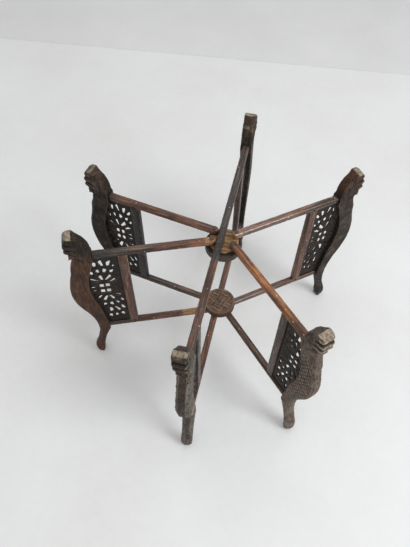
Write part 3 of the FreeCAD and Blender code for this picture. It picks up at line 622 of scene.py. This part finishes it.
def round_leg(mesh):
    """Fills the neck, trims the beard, spreads the chest over its panel's edge and eases the arrises.
    Spreads the foot, rounds it in plan and tucks its sole in."""
    spots = points_of(mesh)
    height = spots[:, 2]
    outer, inner = leg_edges(spots)
    wide = np.maximum(outer - inner, LEAST_DEPTH)
    from_front = outer - spots[:, 0]
    across = np.clip(1 - 2 * from_front / wide, -1, 1)
    chest = fade(height, "chest_top") * fade(height, "chest_foot")
    spots[:, 0] -= CHEST_SPREAD * chest * (1 - across) / 2
    fill = NECK_FILL * bell(height, *NECK) - BEARD_TRIM * bell(height, *BEARD)
    spots[:, 0] += fill * (1 + across) / 2
    foot = fade(height, "foot")
    tuck = SOLE_TUCK * fade(height, "sole")
    spread_out = FOOT_SPREAD * foot * np.tanh(2.5 * across)
    spots[:, 0] += spread_out - 0.5 * wide * tuck * np.clip(across, -HEEL_SHARE, 1)
    to_front = np.clip(1 - from_front / EASED_WIDTH, 0, 1)
    shrink = np.sqrt(1 - FRONT_ROUNDING * to_front ** 2)
    nape = fade(height, "nape_foot") * fade(height, "nape_top")
    to_nape = np.clip(1 - (wide - from_front) / EASED_WIDTH, 0, 1)
    shrink *= np.sqrt(1 - NAPE_ROUNDING * nape * to_nape ** 2)
    shrink *= 1 - foot * (1 - FOOT_BREADTH * np.sqrt(1 - FOOT_ROUNDING * across ** 4))
    shrink *= 1 - tuck
    shrink *= 1 + HEAD_SWELL * fade(height, "head_swell")
    spots[:, 1] *= shrink
    set_points(mesh, spots)


def soften_ends(mesh, rounds=22, softness=0.6, sole_share=0.2):
    """Rubs the arrises of the head's top round, and those of the sole a little."""
    spots = points_of(mesh)
    ends = edges_of(mesh)
    share = fade(spots[:, 2], "crown") + sole_share * fade(spots[:, 2], "toes")
    share = softness * share[:, None]
    for _ in range(rounds):
        even = np.column_stack([spread(spots[:, axis], ends, 1) for axis in range(3)])
        spots += (even - spots) * share
    set_points(mesh, spots)


def carve_leg(mesh, side_start=0.45, side_growth=0.3):
    """Swells the rolls of the muzzle, deepens their grooves and cuts the lines of the head's sides."""
    spots = points_of(mesh)
    normals = normals_of(mesh)
    reach, height = spots[:, 0].copy(), spots[:, 2].copy()
    side = np.clip((np.abs(normals[:, 1]) - side_start) / side_growth, 0, 1)
    cut = np.zeros(len(spots))
    for depth, width, paths in HEAD_CUTS:
        for path in paths:
            cut += depth * MM * gouge(reach, height, path, width * MM)
    from_eye = np.hypot(reach - EYE[0], height - EYE[1])
    ring_radius, ring_width, ring_depth = EYE_RING
    cut += ring_depth * bell(from_eye, ring_radius, ring_width)
    ball_width, ball_height = EYE_BALL
    cut -= ball_height * bell(from_eye, 0, ball_width)
    on_muzzle = ease(reach, *ROLL_REACH)
    push, rolls, groove_shade = np.zeros((3, len(spots)))
    for middle, groove in zip(ROLL_HEIGHTS, GROOVE_HEIGHTS):
        swell = on_muzzle * bell(height, middle * MM, ROLL_WIDTH)
        notch = on_muzzle * bell(height, groove * MM, GROOVE_WIDTH)
        cut -= ROLL_SWELL[0] * swell
        push += ROLL_SWELL[1] * swell - GROOVE_DEPTH * notch
        # A pale band on each roll's top: rubbed wood and a painted highlight.
        rolls = np.maximum(rolls, on_muzzle * bell(height, (middle + ROLL_RUB_AND_HIGHLIGHT[0]) * MM, ROLL_RUB_AND_HIGHLIGHT[1]))
        # Painted shade in the groove under each roll.
        groove_shade = np.maximum(groove_shade, on_muzzle * bell(height, (groove + GROOVE_SHADE[0]) * MM, GROOVE_SHADE[1]))
    spots -= normals * (cut * side)[:, None]
    spots[:, 0] += push * (1 - side)
    set_points(mesh, spots)
    mark_points(mesh, "groove_shade", groove_shade)
    mark_points(mesh, "rolls", rolls)


def worn_pads(mesh, growth=2.2, loss=0.9, reach=(286 * MM, 291 * MM)):
    """1 on the head's top, where a tray has rubbed the wood bare."""
    spots = points_of(mesh)
    up = np.clip(normals_of(mesh)[:, 2] * growth - loss, 0, 1)
    return up * fade(spots[:, 2], "pad") * ease(spots[:, 0], *reach)


def leg_shape():
    mesh = worked_skin("leg_front", FRAMES["front"], LEG_GRIT, softness=2)
    round_leg(mesh)
    carve_leg(mesh)
    soften_ends(mesh)
    mark_edges(mesh)
    mark_points(mesh, "pad", worn_pads(mesh))
    return mesh


# Patches rubbed bare: the way each faces in its wing's frame, its middle's height and its spread in
# millimetres, and how bare it is.
BARE_PATCHES = {
    "front": ((0, 1, 0), 192, 20, 0.8),
    "back": ((-1, 0, 0), 441, 9, 0.5),
}


def bare_patch(mesh, wing, turn=(0.3, 0.7)):
    """How bare each point of a leg, or of its scales, is rubbed by the leg's own patch."""
    if wing not in BARE_PATCHES:
        return np.zeros(len(mesh.vertices))
    facing, middle, reach, level = BARE_PATCHES[wing]
    turned = ease(normals_of(mesh) @ np.array(facing), *turn)
    return level * turned * bell(points_of(mesh)[:, 2], middle * MM, reach * MM)


def mark_look(mesh, wing, spots, ankle_dust=0.3):
    """Keeps a leg's own tones on its mesh. The points are in the wing's frame."""
    look = LEG_LOOKS[wing]
    head = fade(spots[:, 2], "head_look")
    # Dust and painted light lie mostly on the sides, painting them paler than the front as lit faces; the
    # front takes its own share, and the ankles more dust.
    sides = np.abs(normals_of(mesh)[:, 1])
    sides += look["front"] * (1 - sides) + ankle_dust * fade(spots[:, 2], "ankle_dust")
    for name in LEG_TONES:
        on_head, on_body = look[name]
        share = sides if name == "dust_and_light" else 1.0
        mark_points(mesh, name, (on_body + (on_head - on_body) * head) * share)
    # Worn takes in the bare pads and patches and the rolls' pale tops, which are partly a painted
    # highlight.
    worn = np.maximum(marks_of(mesh, "pad") * look["pad"], marks_of(mesh, "rolls") * look["rolls"])
    mark_points(mesh, "worn", np.maximum(worn, bare_patch(mesh, wing)))


def set_legs(master, finish, worn=(0.3, 24)):
    for number, wing in enumerate(WINGS):
        mesh = master.copy()
        spots = points_of(mesh)
        sink = wear(spots, SEEDS["leg"] + number, worn)
        lean = np.zeros_like(spots)
        lean[:, 1] = LEG_LOOKS[wing].get("lean", 0) * MM * fade(spots[:, 2], "lean")
        set_points(mesh, spots + lean - normals_of(mesh) * sink[:, None])
        mark_look(mesh, wing, spots)
        set_on_wing(wing, "carved_leg_", mesh, "leg_", finish)


# Scales on the chests, laid in rows over the sides of a leg

# One scale's width, height and stand, its outline, and how much smaller the outline on its face is.
SCALE_SIZE = (7.6 * MM, 8.8 * MM, 0.45 * MM)
SCALE_OUTLINE = ((-0.5, 0.35), (-0.3, 0.5), (0.3, 0.5), (0.5, 0.35), (0.46, -0.1), (0.24, -0.42), (0, -0.5),
                 (-0.24, -0.42), (-0.46, -0.1))
SCALE_FACE = 0.72
SCALE_ROWS = {"Pitch": 8.0 * MM, "Row Pitch": 7.0 * MM, "Columns": 6, "Rows": 24,
              "Middle": (297 * MM, 0.0, 280 * MM), "Seed": 5}
SCALED_WINGS = ("front", "right_front")


def one_scale():
    """A shield-shaped scale that looks along Y, tip down, with a painted highlight at its tip and painted
    shade round its root.
    """
    wide, tall, stand = SCALE_SIZE
    count = len(SCALE_OUTLINE)
    spots = [(x * wide, -stand, z * tall) for x, z in SCALE_OUTLINE]
    for x, z in SCALE_OUTLINE:
        spots.append((x * wide * SCALE_FACE, stand * (0.55 - 0.45 * z), z * tall * SCALE_FACE))
    spots.append((0, stand, -0.1 * tall))
    faces = [tuple(reversed(range(count)))]
    for spot in range(count):
        beside = (spot + 1) % count
        faces.append((spot, beside, count + beside, count + spot))
        faces.append((count + spot, count + beside, 2 * count))
    mesh = new_mesh("one_scale", spots, faces)
    # Its edge marks paint a highlight on its tip and shade round its root, laid by its finish as pale and
    # dark.
    root, tip = [-1.3] * count, [0.7]
    mark_points(mesh, "edge", np.array(root + [0.3 - 1.1 * z for _, z in SCALE_OUTLINE] + tip))
    return mesh


class ScaleRows:
    """The rule that lays scales: a staggered grid, cast onto both sides of a leg, one scale on each hit."""

    INPUTS = {"Geometry": "Geometry", "Leg": "Object", "Scale": "Object", "Finish": "Material",
              "Pitch": "Float", "Row Pitch": "Float", "Columns": "Int", "Rows": "Int", "Middle": "Vector",
              "Seed": "Int"}
    # The cast's start beside the leg and its length, how flat the side has to be, and the scales' sizes.
    CAST = (0.1, 0.2)
    FLAT_ENOUGH = 0.985
    SIZES = (0.8, 1.1)

    def __init__(self):
        self.tree = bpy.data.node_groups.new("scale_rows", "GeometryNodeTree")
        face = self.tree.interface
        self.names = {}
        for name, kind in self.INPUTS.items():
            made = face.new_socket(name=name, in_out="INPUT", socket_type="NodeSocket" + kind)
            self.names[name] = made.identifier
        face.new_socket(name="Geometry", in_out="OUTPUT", socket_type="NodeSocketGeometry")
        self.given = self.tree.nodes.new("NodeGroupInput").outputs
        sides = add_node(self.tree, "GeometryNodeJoinGeometry", {})
        for side in (1, -1):
            self.tree.links.new(self.rows_on_side(side), sides.inputs["Geometry"])
        real = self.out("GeometryNodeRealizeInstances", {"Geometry": sides.outputs["Geometry"]})
        dressed = self.out("GeometryNodeSetMaterial", {"Geometry": real, "Material": self.given["Finish"]})
        add_node(self.tree, "NodeGroupOutput", {"Geometry": dressed})

    def out(self, kind, sockets, name=0, **settings):
        return add_node(self.tree, kind, sockets, **settings).outputs[name]

    def sums(self, operation, first, second):
        return self.out("ShaderNodeMath", {0: first, 1: second}, operation=operation)

    def rows_on_side(self, side):
        """Scales on one side of the leg, as instances."""
        given = self.given
        grid = self.out("GeometryNodeMeshGrid", {
            "Size X": self.sums("MULTIPLY", given["Pitch"], given["Columns"]),
            "Size Y": self.sums("MULTIPLY", given["Row Pitch"], given["Rows"]),
            "Vertices X": given["Columns"], "Vertices Y": given["Rows"]})
        spot = self.out("GeometryNodeInputPosition", {})
        split = add_node(self.tree, "ShaderNodeSeparateXYZ", {0: spot}).outputs
        row = self.sums("MODULO", self.out("GeometryNodeInputIndex", {}), given["Rows"])
        half = self.sums("MULTIPLY", given["Pitch"], 0.5)
        stagger = self.sums("MULTIPLY", self.sums("MODULO", row, 2.0), half)
        laid = self.out("ShaderNodeCombineXYZ", {
            0: self.sums("ADD", split[0], stagger), 1: side * self.CAST[0], 2: split[1]})
        start = self.out("ShaderNodeVectorMath", {0: laid, 1: given["Middle"]}, operation="ADD")
        leg = self.out("GeometryNodeObjectInfo", {"Object": given["Leg"]}, "Geometry")
        cast = add_node(self.tree, "GeometryNodeRaycast", {
            "Target Geometry": leg, "Source Position": start, "Ray Direction": (0, -side, 0),
            "Ray Length": self.CAST[1]}).outputs
        facing = self.out("ShaderNodeSeparateXYZ", {0: cast["Hit Normal"]}, 1)
        flat = self.sums("GREATER_THAN", self.sums("MULTIPLY", facing, side), self.FLAT_ENOUGH)
        miss = self.sums("LESS_THAN", self.sums("MULTIPLY", flat, cast["Is Hit"]), 0.5)
        kept = add_node(self.tree, "GeometryNodeCaptureAttribute", {"Geometry": grid})
        kept.capture_items.new("FLOAT", "Miss")
        self.tree.links.new(miss, kept.inputs["Miss"])
        moved = self.out("GeometryNodeSetPosition", {
            "Geometry": kept.outputs["Geometry"], "Position": cast["Hit Position"],
            "Selection": cast["Is Hit"]})
        missed = kept.outputs["Miss"]
        keep = self.out("GeometryNodeDeleteGeometry", {"Geometry": moved, "Selection": missed})
        scale = self.out("GeometryNodeObjectInfo", {"Object": given["Scale"]}, "Geometry")
        small, large = self.SIZES
        size = self.out("FunctionNodeRandomValue", {2: small, 3: large, "Seed": given["Seed"]}, 1)
        turn = (0, 0, 0) if side > 0 else (0, 0, math.pi)
        return self.out("GeometryNodeInstanceOnPoints", {
            "Points": keep, "Instance": scale, "Rotation": turn, "Scale": size}, "Instances")

    def lay(self, values):
        """The scales as a plain mesh."""
        made = new_object("scale_rows", bpy.data.meshes.new("scale_rows"))
        rule = made.modifiers.new("scale_rows", "NODES")
        rule.node_group = self.tree
        for name, value in values.items():
            rule[self.names[name]] = value
        mesh = settled(made)
        drop(made)
        return mesh


def set_scales(master, finish):
    """Scales on the two legs that keep them. On the others they are worn smooth."""
    leg = new_object("leg_to_scale", master.copy())
    scale = new_object("scale_to_lay", one_scale())
    scales = ScaleRows().lay({"Leg": leg, "Scale": scale, "Finish": finish, **SCALE_ROWS})
    drop(leg)
    drop(scale)
    for wing in SCALED_WINGS:
        mesh = scales.copy()
        for name in LEG_TONES:
            mark_points(mesh, name, LEG_LOOKS[wing][name][1])
        mark_points(mesh, "worn", bare_patch(mesh, wing))
        mark_points(mesh, "groove_shade", 0.0)
        set_on_wing(wing, "chest_scales_", mesh, None, finish)


# Panels, rails and hubs

def rim_distance(mesh, flat):
    """For each point, how far it is in the panel's plane from the nearest point off the flat sides."""
    laid = points_of(mesh) * (1, 0, 1)
    rims = np.flatnonzero(~flat)
    tree = kdtree.KDTree(len(rims))
    for index in rims:
        tree.insert(laid[index], int(index))
    tree.balance()
    far = np.zeros(len(laid))
    for index in np.flatnonzero(flat):
        far[index] = tree.find(laid[index])[2]
    return far


def panel_shape(facing=0.8, drop_in=0.9 * MM, fade_over=1.4 * MM):
    """One panel in its wing's frame, with eased rims round its holes."""
    mesh = worked_skin("panel_front", FRAMES["front"], PANEL_GRIT, softness=2)
    flat = np.abs(normals_of(mesh)[:, 1]) > facing
    rim = rim_distance(mesh, flat)
    sink_in(mesh, drop_in * np.exp(-rim / fade_over) * flat)
    mark_points(mesh, "rim", rim)
    mark_edges(mesh)
    return mesh


def set_panels():
    finish = panel_wood()
    master = panel_shape()
    for wing in WINGS:
        set_on_wing(wing, "pierced_panel_", master, "panel_", finish)


# The look of each rail, bar and stile, as (reach in millimetres, level) stops, 0 for none: how dusky, how
# orange, how bare and how polished it is. On a bar, reach runs from the front leg, below 0, to the back.
STICK_LOOKS = {
    "upper_rail_left_front": {"dusk": ((60, 0.1), (190, 0.6), (250, 1.45)), "glow": ((60, 0.15), (200, 0)),
                              "bare": ((36, 0.8), (48, 0))},
    "upper_rail_left_back": {"dusk": ((40, 0.3), (250, 0.4)), "glow": ((60, 0.1),),
                             "bare": ((30, 0.5), (40, 0))},
    "upper_rail_right_front": {"dusk": ((30, 0.45), (100, 0.05), (250, 0.3)),
                               "glow": ((40, 0.1), (110, 0.95), (190, 0.85), (260, 0.25))},
    "upper_rail_right_back": {"dusk": ((40, 0.1), (250, 0.45)), "glow": ((60, 0.15),),
                              "bare": ((32, 0.8), (44, 0)),
                              "polish": ((40, 0.9), (110, 0.8), (170, 0.25), (230, 0))},
    "lower_rail_left_front": {"dusk": ((110, 0.25), (250, 0.5)), "glow": ((60, 0.2), (250, 0)),
                              "bare": ((34, 0), (52, 0.75), (84, 0.7), (125, 0))},
    "lower_rail_left_back": {"dusk": ((40, 0.3), (190, 0.8), (250, 1.5))},
    "lower_rail_right_front": {"dusk": ((40, 0.35), (250, 0.5))},
    "lower_rail_right_back": {"dusk": ((40, 0.2), (250, 0.4)), "glow": ((60, 0.15),),
                              "polish": ((40, 0.7), (110, 0.5), (170, 0.1))},
    "top_bar": {"dusk": ((-250, 0.45), (-75, 0.12), (-45, 1.2), (60, 1.1), (120, 0.75), (250, 0.6)),
                "glow": ((-75, 0.1), (-45, 0))},
    "bottom_bar": {"dusk": ((-250, 0.25), (250, 0.45)), "glow": ((-200, 0.2), (0, 0.1))},
    "stile_front": {"dusk": ((0, 0.7),)},
    "stile_back": {"dusk": ((0, 0.6),)},
    "stile_left_front": {"dusk": ((0, 0.3),)},
    "stile_left_back": {"dusk": ((0, 1.6),)},
    "stile_right_front": {"dusk": ((0, 0.45),)},
    "stile_right_back": {"dusk": ((0, 0.2),), "glow": ((0, 0.1),)},
}
STICK_MARKS = ("dusk", "glow", "bare", "polish")
STICK_WEAR = ((0.25, 16), (0.1, 5))
BRIGHT_GATE = "right_front"


def wood_stick(node, matrix, grain, seed, drawn_out=0.06, shift=0.37):
    """A rail, bar or stile with softened, slightly uneven arrises. grain is the way its grain runs."""
    mesh = worked_skin(node, matrix, RAIL_GRIT, softness=3)
    spots = points_of(mesh)
    sink_in(mesh, wear(spots, seed, *STICK_WEAR))
    mark_edges(mesh)
    stretch = np.array([drawn_out if axis == grain else 1.0 for axis in "XYZ"])
    mark_vectors(mesh, "along", spots * stretch + seed * shift)
    for name in STICK_MARKS:
        places, levels = zip(*STICK_LOOKS[node].get(name, ((0, 0),)))
        mark_points(mesh, name, np.interp(spots[:, 0] / MM, places, levels))
    return mesh


def set_sticks():
    rail = rubbed_rail("rail_wood", (46, 29, 24), (94, 60, 46), (142, 100, 78))
    bright = rubbed_rail("worn_rail_wood", (70, 42, 27), (120, 76, 48), (164, 112, 74))
    for number, wing in enumerate(WINGS):
        stile = wood_stick("stile_" + wing, FRAMES[wing], "Z", SEEDS["stile"] + number)
        set_on_wing(wing, "stile_post_", stile, "stile_", rail)
    for number, wing in enumerate(GATES):
        upper = wood_stick("upper_rail_" + wing, FRAMES[wing], "X", SEEDS["upper_rail"] + number)
        slot, finish = ("worn_rail_wood", bright) if wing == BRIGHT_GATE else ("rail_wood", rail)
        set_on_wing(wing, "top_rail_", upper, "upper_rail_", finish)
        lower = wood_stick("lower_rail_" + wing, FRAMES[wing], "X", SEEDS["lower_rail"] + number)
        set_on_wing(wing, "foot_rail_", lower, "lower_rail_", rail)
    for number, node in enumerate(("top_bar", "bottom_bar")):
        bar = wood_stick(node, FRAMES["back"], "X", SEEDS["bar"] + number)
        set_piece("straight_" + node, bar, FRAMES["back"], "centre_frame", node, rail)


def turned_disc(profile, turns, top_rings):
    """A closed turned mesh: a profile of (radius, height) points from the top's rim to the bottom's rim."""
    rim_radius, rim_height = profile[0]
    rings = [(rim_radius * step / top_rings, rim_height) for step in range(1, top_rings)] + list(profile)
    base_radius, base_height = profile[-1]
    rings += [(base_radius * share, base_height) for share in (0.66, 0.33)]
    spots = [(0, 0, rim_height)]
    for radius, height in rings:
        for turn in range(turns):
            angle = 2 * math.pi * turn / turns
            spots.append((radius * math.cos(angle), radius * math.sin(angle), height))
    spots.append((0, 0, base_height))
    faces = [(0, 1 + turn, 1 + (turn + 1) % turns) for turn in range(turns)]
    for ring in range(len(rings) - 1):
        start = 1 + ring * turns
        for turn in range(turns):
            beside = (turn + 1) % turns
            faces.append((start + turn, start + turns + turn, start + turns + beside, start + beside))
    start = 1 + (len(rings) - 1) * turns
    last = len(spots) - 1
    faces += [(start + turn, last, start + (turn + 1) % turns) for turn in range(turns)]
    return new_mesh("turned_disc", spots, faces)


def eased_drum(radius, low, high, ease_by, bend_steps=4, side_steps=12):
    """The side of a drum from its top's rim down, with eased arrises."""
    flat, top, base = radius - ease_by, high - ease_by, low + ease_by
    turns = [math.pi / 2 * step / bend_steps for step in range(bend_steps + 1)]
    bends = [(ease_by * math.sin(turn), ease_by * math.cos(turn)) for turn in turns]
    profile = [(flat + out, top + up) for out, up in bends]
    profile += [(radius, top + (base - top) * step / side_steps) for step in range(1, side_steps)]
    return profile + [(flat + up, base - out) for out, up in bends]


def set_hub(name, mesh, node, finish):
    """Stands a drum made round the hub's own middle in its place."""
    set_piece(name, mesh, Matrix.Translation((HUB.x, HUB.y, 0)), "centre_frame", node, finish)


def set_upper_hub(gap=(5 * MM, 8.5 * MM), tan_inset=7.5 * MM, gap_inset=12 * MM,
                  worn=((0.3, 9), (0.15, 3))):
    """A bare tan drum on a wider dark one, with a shadow gap between them."""
    low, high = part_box("upper_hub_disc")
    radius = (high.x - low.x) / 2
    gap_top, gap_low = (high.z - depth for depth in gap)
    profile = eased_drum(radius - tan_inset, gap_top, high.z, 1.6 * MM)
    profile += [(radius - gap_inset, gap_top), (radius - gap_inset, gap_low)]
    profile += eased_drum(radius, low.z, gap_low, 1.3 * MM)
    mesh = turned_disc(profile, turns=160, top_rings=30)
    spots = points_of(mesh)
    sink_in(mesh, wear(spots, SEEDS["upper_hub"], *worn))
    mark_edges(mesh, full=0.35)
    mark_points(mesh, "raw", np.where(spots[:, 2] > gap_top + 0.5 * MM, 1.0, 0.0))
    raw = [(0.38, 78, 56, 38), (0.5, 140, 106, 71), (0.62, 196, 166, 123)]
    finish = hub_wood("raw_hub_wood", raw, (40, 33, 29), (104, 88, 76), stain=0.8)
    set_hub("upper_hub", mesh, "upper_hub_disc", finish)


def basket_cut(spots, turn=math.radians(71), block=27 * MM, strip=9 * MM, line_share=0.13):
    """How deep the basket lines cut at each point of the hub's top: blocks of strips laid crosswise."""
    along = spots[:, 0] * math.cos(turn) + spots[:, 1] * math.sin(turn)
    across = -spots[:, 0] * math.sin(turn) + spots[:, 1] * math.cos(turn)
    column = np.floor(along / block + 0.5)
    row = np.floor(across / block + 0.5)
    crosswise = (column + row) % 2 == 0
    lane = np.where(crosswise, across, along) / strip
    return bell(lane, np.round(lane), line_share)


def set_lower_hub(ring_inset=6.5 * MM, ring_width=0.9 * MM, ring_share=0.7, lines_end=(0.6 * MM, 1.4 * MM),
                  line_depth=1.9 * MM, worn=(0.35, 8)):
    """A dark drum whose top is cut with a ring and crosswise strips."""
    low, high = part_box("lower_hub_disc")
    radius = (high.x - low.x) / 2
    mesh = turned_disc(eased_drum(radius, low.z, high.z, 1.8 * MM), turns=300, top_rings=62)
    spots = points_of(mesh)
    out = np.hypot(spots[:, 0], spots[:, 1])
    top = spots[:, 2] > high.z - 0.2 * MM
    ring_place = radius - ring_inset
    ring = bell(out, ring_place, ring_width)
    none_at, full_at = (ring_place - inset for inset in lines_end)
    lines = basket_cut(spots) * ease(out, none_at, full_at)
    sink = wear(spots, SEEDS["lower_hub"], worn)
    spots[:, 2] -= np.where(top, line_depth * np.maximum(ring_share * ring, lines) + sink, 0)
    set_points(mesh, spots)
    mark_edges(mesh, full=0.28)
    mark_points(mesh, "raw", np.where(top, 1.0, 0.0))
    stops = [(0.38, 60, 45, 37), (0.5, 102, 81, 67), (0.62, 148, 124, 105)]
    finish = hub_wood("dark_hub_wood", stops, (40, 30, 25), (92, 66, 52), stain=0.5)
    set_hub("lower_hub", mesh, "lower_hub_disc", finish)


def dress_small_parts():
    """Gives the pegs, dowels and pins, which stay the CAD's own, their finish."""
    peg = peg_wood()
    finishes = {"peg": peg, "dowel": peg, "pivot_pins": pin_iron()}
    for name, node in NODES.items():
        for word, finish in finishes.items():
            if word in name:
                node.data.materials.clear()
                node.data.materials.append(finish)


# Room, light and camera

def flat_sheet(name, corners, finish):
    mesh = new_mesh(name, corners, [(0, 1, 2, 3)])
    mesh.materials.append(finish)
    sheet = new_object(name, mesh)


def set_room(edge=6, wall_line=(0.561, 1.781), lift=0.5 * MM):
    """A pale floor, a little darker beyond a slanting line, where the photograph shows a wall's foot."""
    floor = pale_ground("pale_floor", (227, 227, 225), (238, 239, 240))
    far_floor = pale_ground("far_floor", (219, 219, 219), (231, 231, 232))
    flat_sheet("floor", [(-edge, -edge, 0), (edge, -edge, 0), (edge, edge, 0), (-edge, edge, 0)], floor)
    left, right = wall_line
    beyond = [(-edge, left, lift), (edge, right, lift), (edge, edge, lift), (-edge, edge, lift)]
    flat_sheet("far_floor", beyond, far_floor)


def area_lamp(name, place, aim, size, power, colour=(1.0, 1.0, 1.0)):
    """A square lamp that shines from its place towards its aim."""
    data = bpy.data.lights.new(name, "AREA")
    data.size = size
    data.energy = power
    data.color = colour
    lamp = new_object(name, data)
    lamp.location = place
    lamp.rotation_euler = (Vector(aim) - Vector(place)).to_track_quat("-Z", "Y").to_euler()


def set_sky(light):
    """An even sky of that strength, plain white to the camera, in reflections and through clear things."""
    world = bpy.data.worlds.new("soft_room")
    world.use_nodes = True
    tree = world.node_tree
    tree.nodes.clear()
    white = (1.0, 1.0, 1.0, 1.0)
    lit, seen = (add_node(tree, "ShaderNodeBackground", {"Color": white, "Strength": level}).outputs[0]
                 for level in (light, 1.0))
    path = add_node(tree, "ShaderNodeLightPath", {}).outputs
    share = path["Is Camera Ray"]
    for ray in ("Is Glossy Ray", "Is Transmission Ray"):
        larger = add_node(tree, "ShaderNodeMath", {0: share, 1: path[ray]}, operation="MAXIMUM")
        share = larger.outputs[0]
    either = add_node(tree, "ShaderNodeMixShader", {0: share, 1: lit, 2: seen}).outputs[0]
    add_node(tree, "ShaderNodeOutputWorld", {"Surface": either})
    bpy.context.scene.world = world


def set_light():
    set_sky(light=0.49)
    cool = (0.97, 0.985, 1.0)
    area_lamp("window", place=(2.2, -0.8, 2.3), aim=(0, 0, 0.2), size=1.3, power=42, colour=cool)
    area_lamp("ceiling", place=(0.2, 0.2, 2.8), aim=(0.0, 0.1, 0), size=3.6, power=30)


# The photograph's camera, as fitted to it
CAMERA_PLACE = (0.1298, -0.6398, 1.2269)
CAMERA_AZIMUTH = math.radians(102.30)
CAMERA_PITCH = math.radians(56.09)
CAMERA_ROLL = math.radians(1.23)
FOCUS_PIXELS = 531.0
PICTURE_HEIGHT = 547


def set_camera():
    data = bpy.data.cameras.new("photo_camera")
    data.sensor_width = 36.0
    data.lens = FOCUS_PIXELS / PICTURE_HEIGHT * data.sensor_width
    camera = new_object("photo_camera", data)
    flat = Vector((math.cos(CAMERA_AZIMUTH), math.sin(CAMERA_AZIMUTH), 0))
    look = flat * math.cos(CAMERA_PITCH) - Vector((0, 0, math.sin(CAMERA_PITCH)))
    turn = look.to_track_quat("-Z", "Y").to_matrix().to_4x4()
    camera.matrix_world = Matrix.Translation(CAMERA_PLACE) @ turn @ Matrix.Rotation(CAMERA_ROLL, 4, "Z")
    bpy.context.scene.camera = camera


LEG_FINISH = carved_wood()
LEG_MASTER = leg_shape()
set_legs(LEG_MASTER, LEG_FINISH)
set_scales(LEG_MASTER, LEG_FINISH)
set_panels()
set_sticks()
set_upper_hub()
set_lower_hub()
dress_small_parts()
set_room()
set_light()
set_camera()
bpy.context.scene.view_settings.view_transform = "Standard"
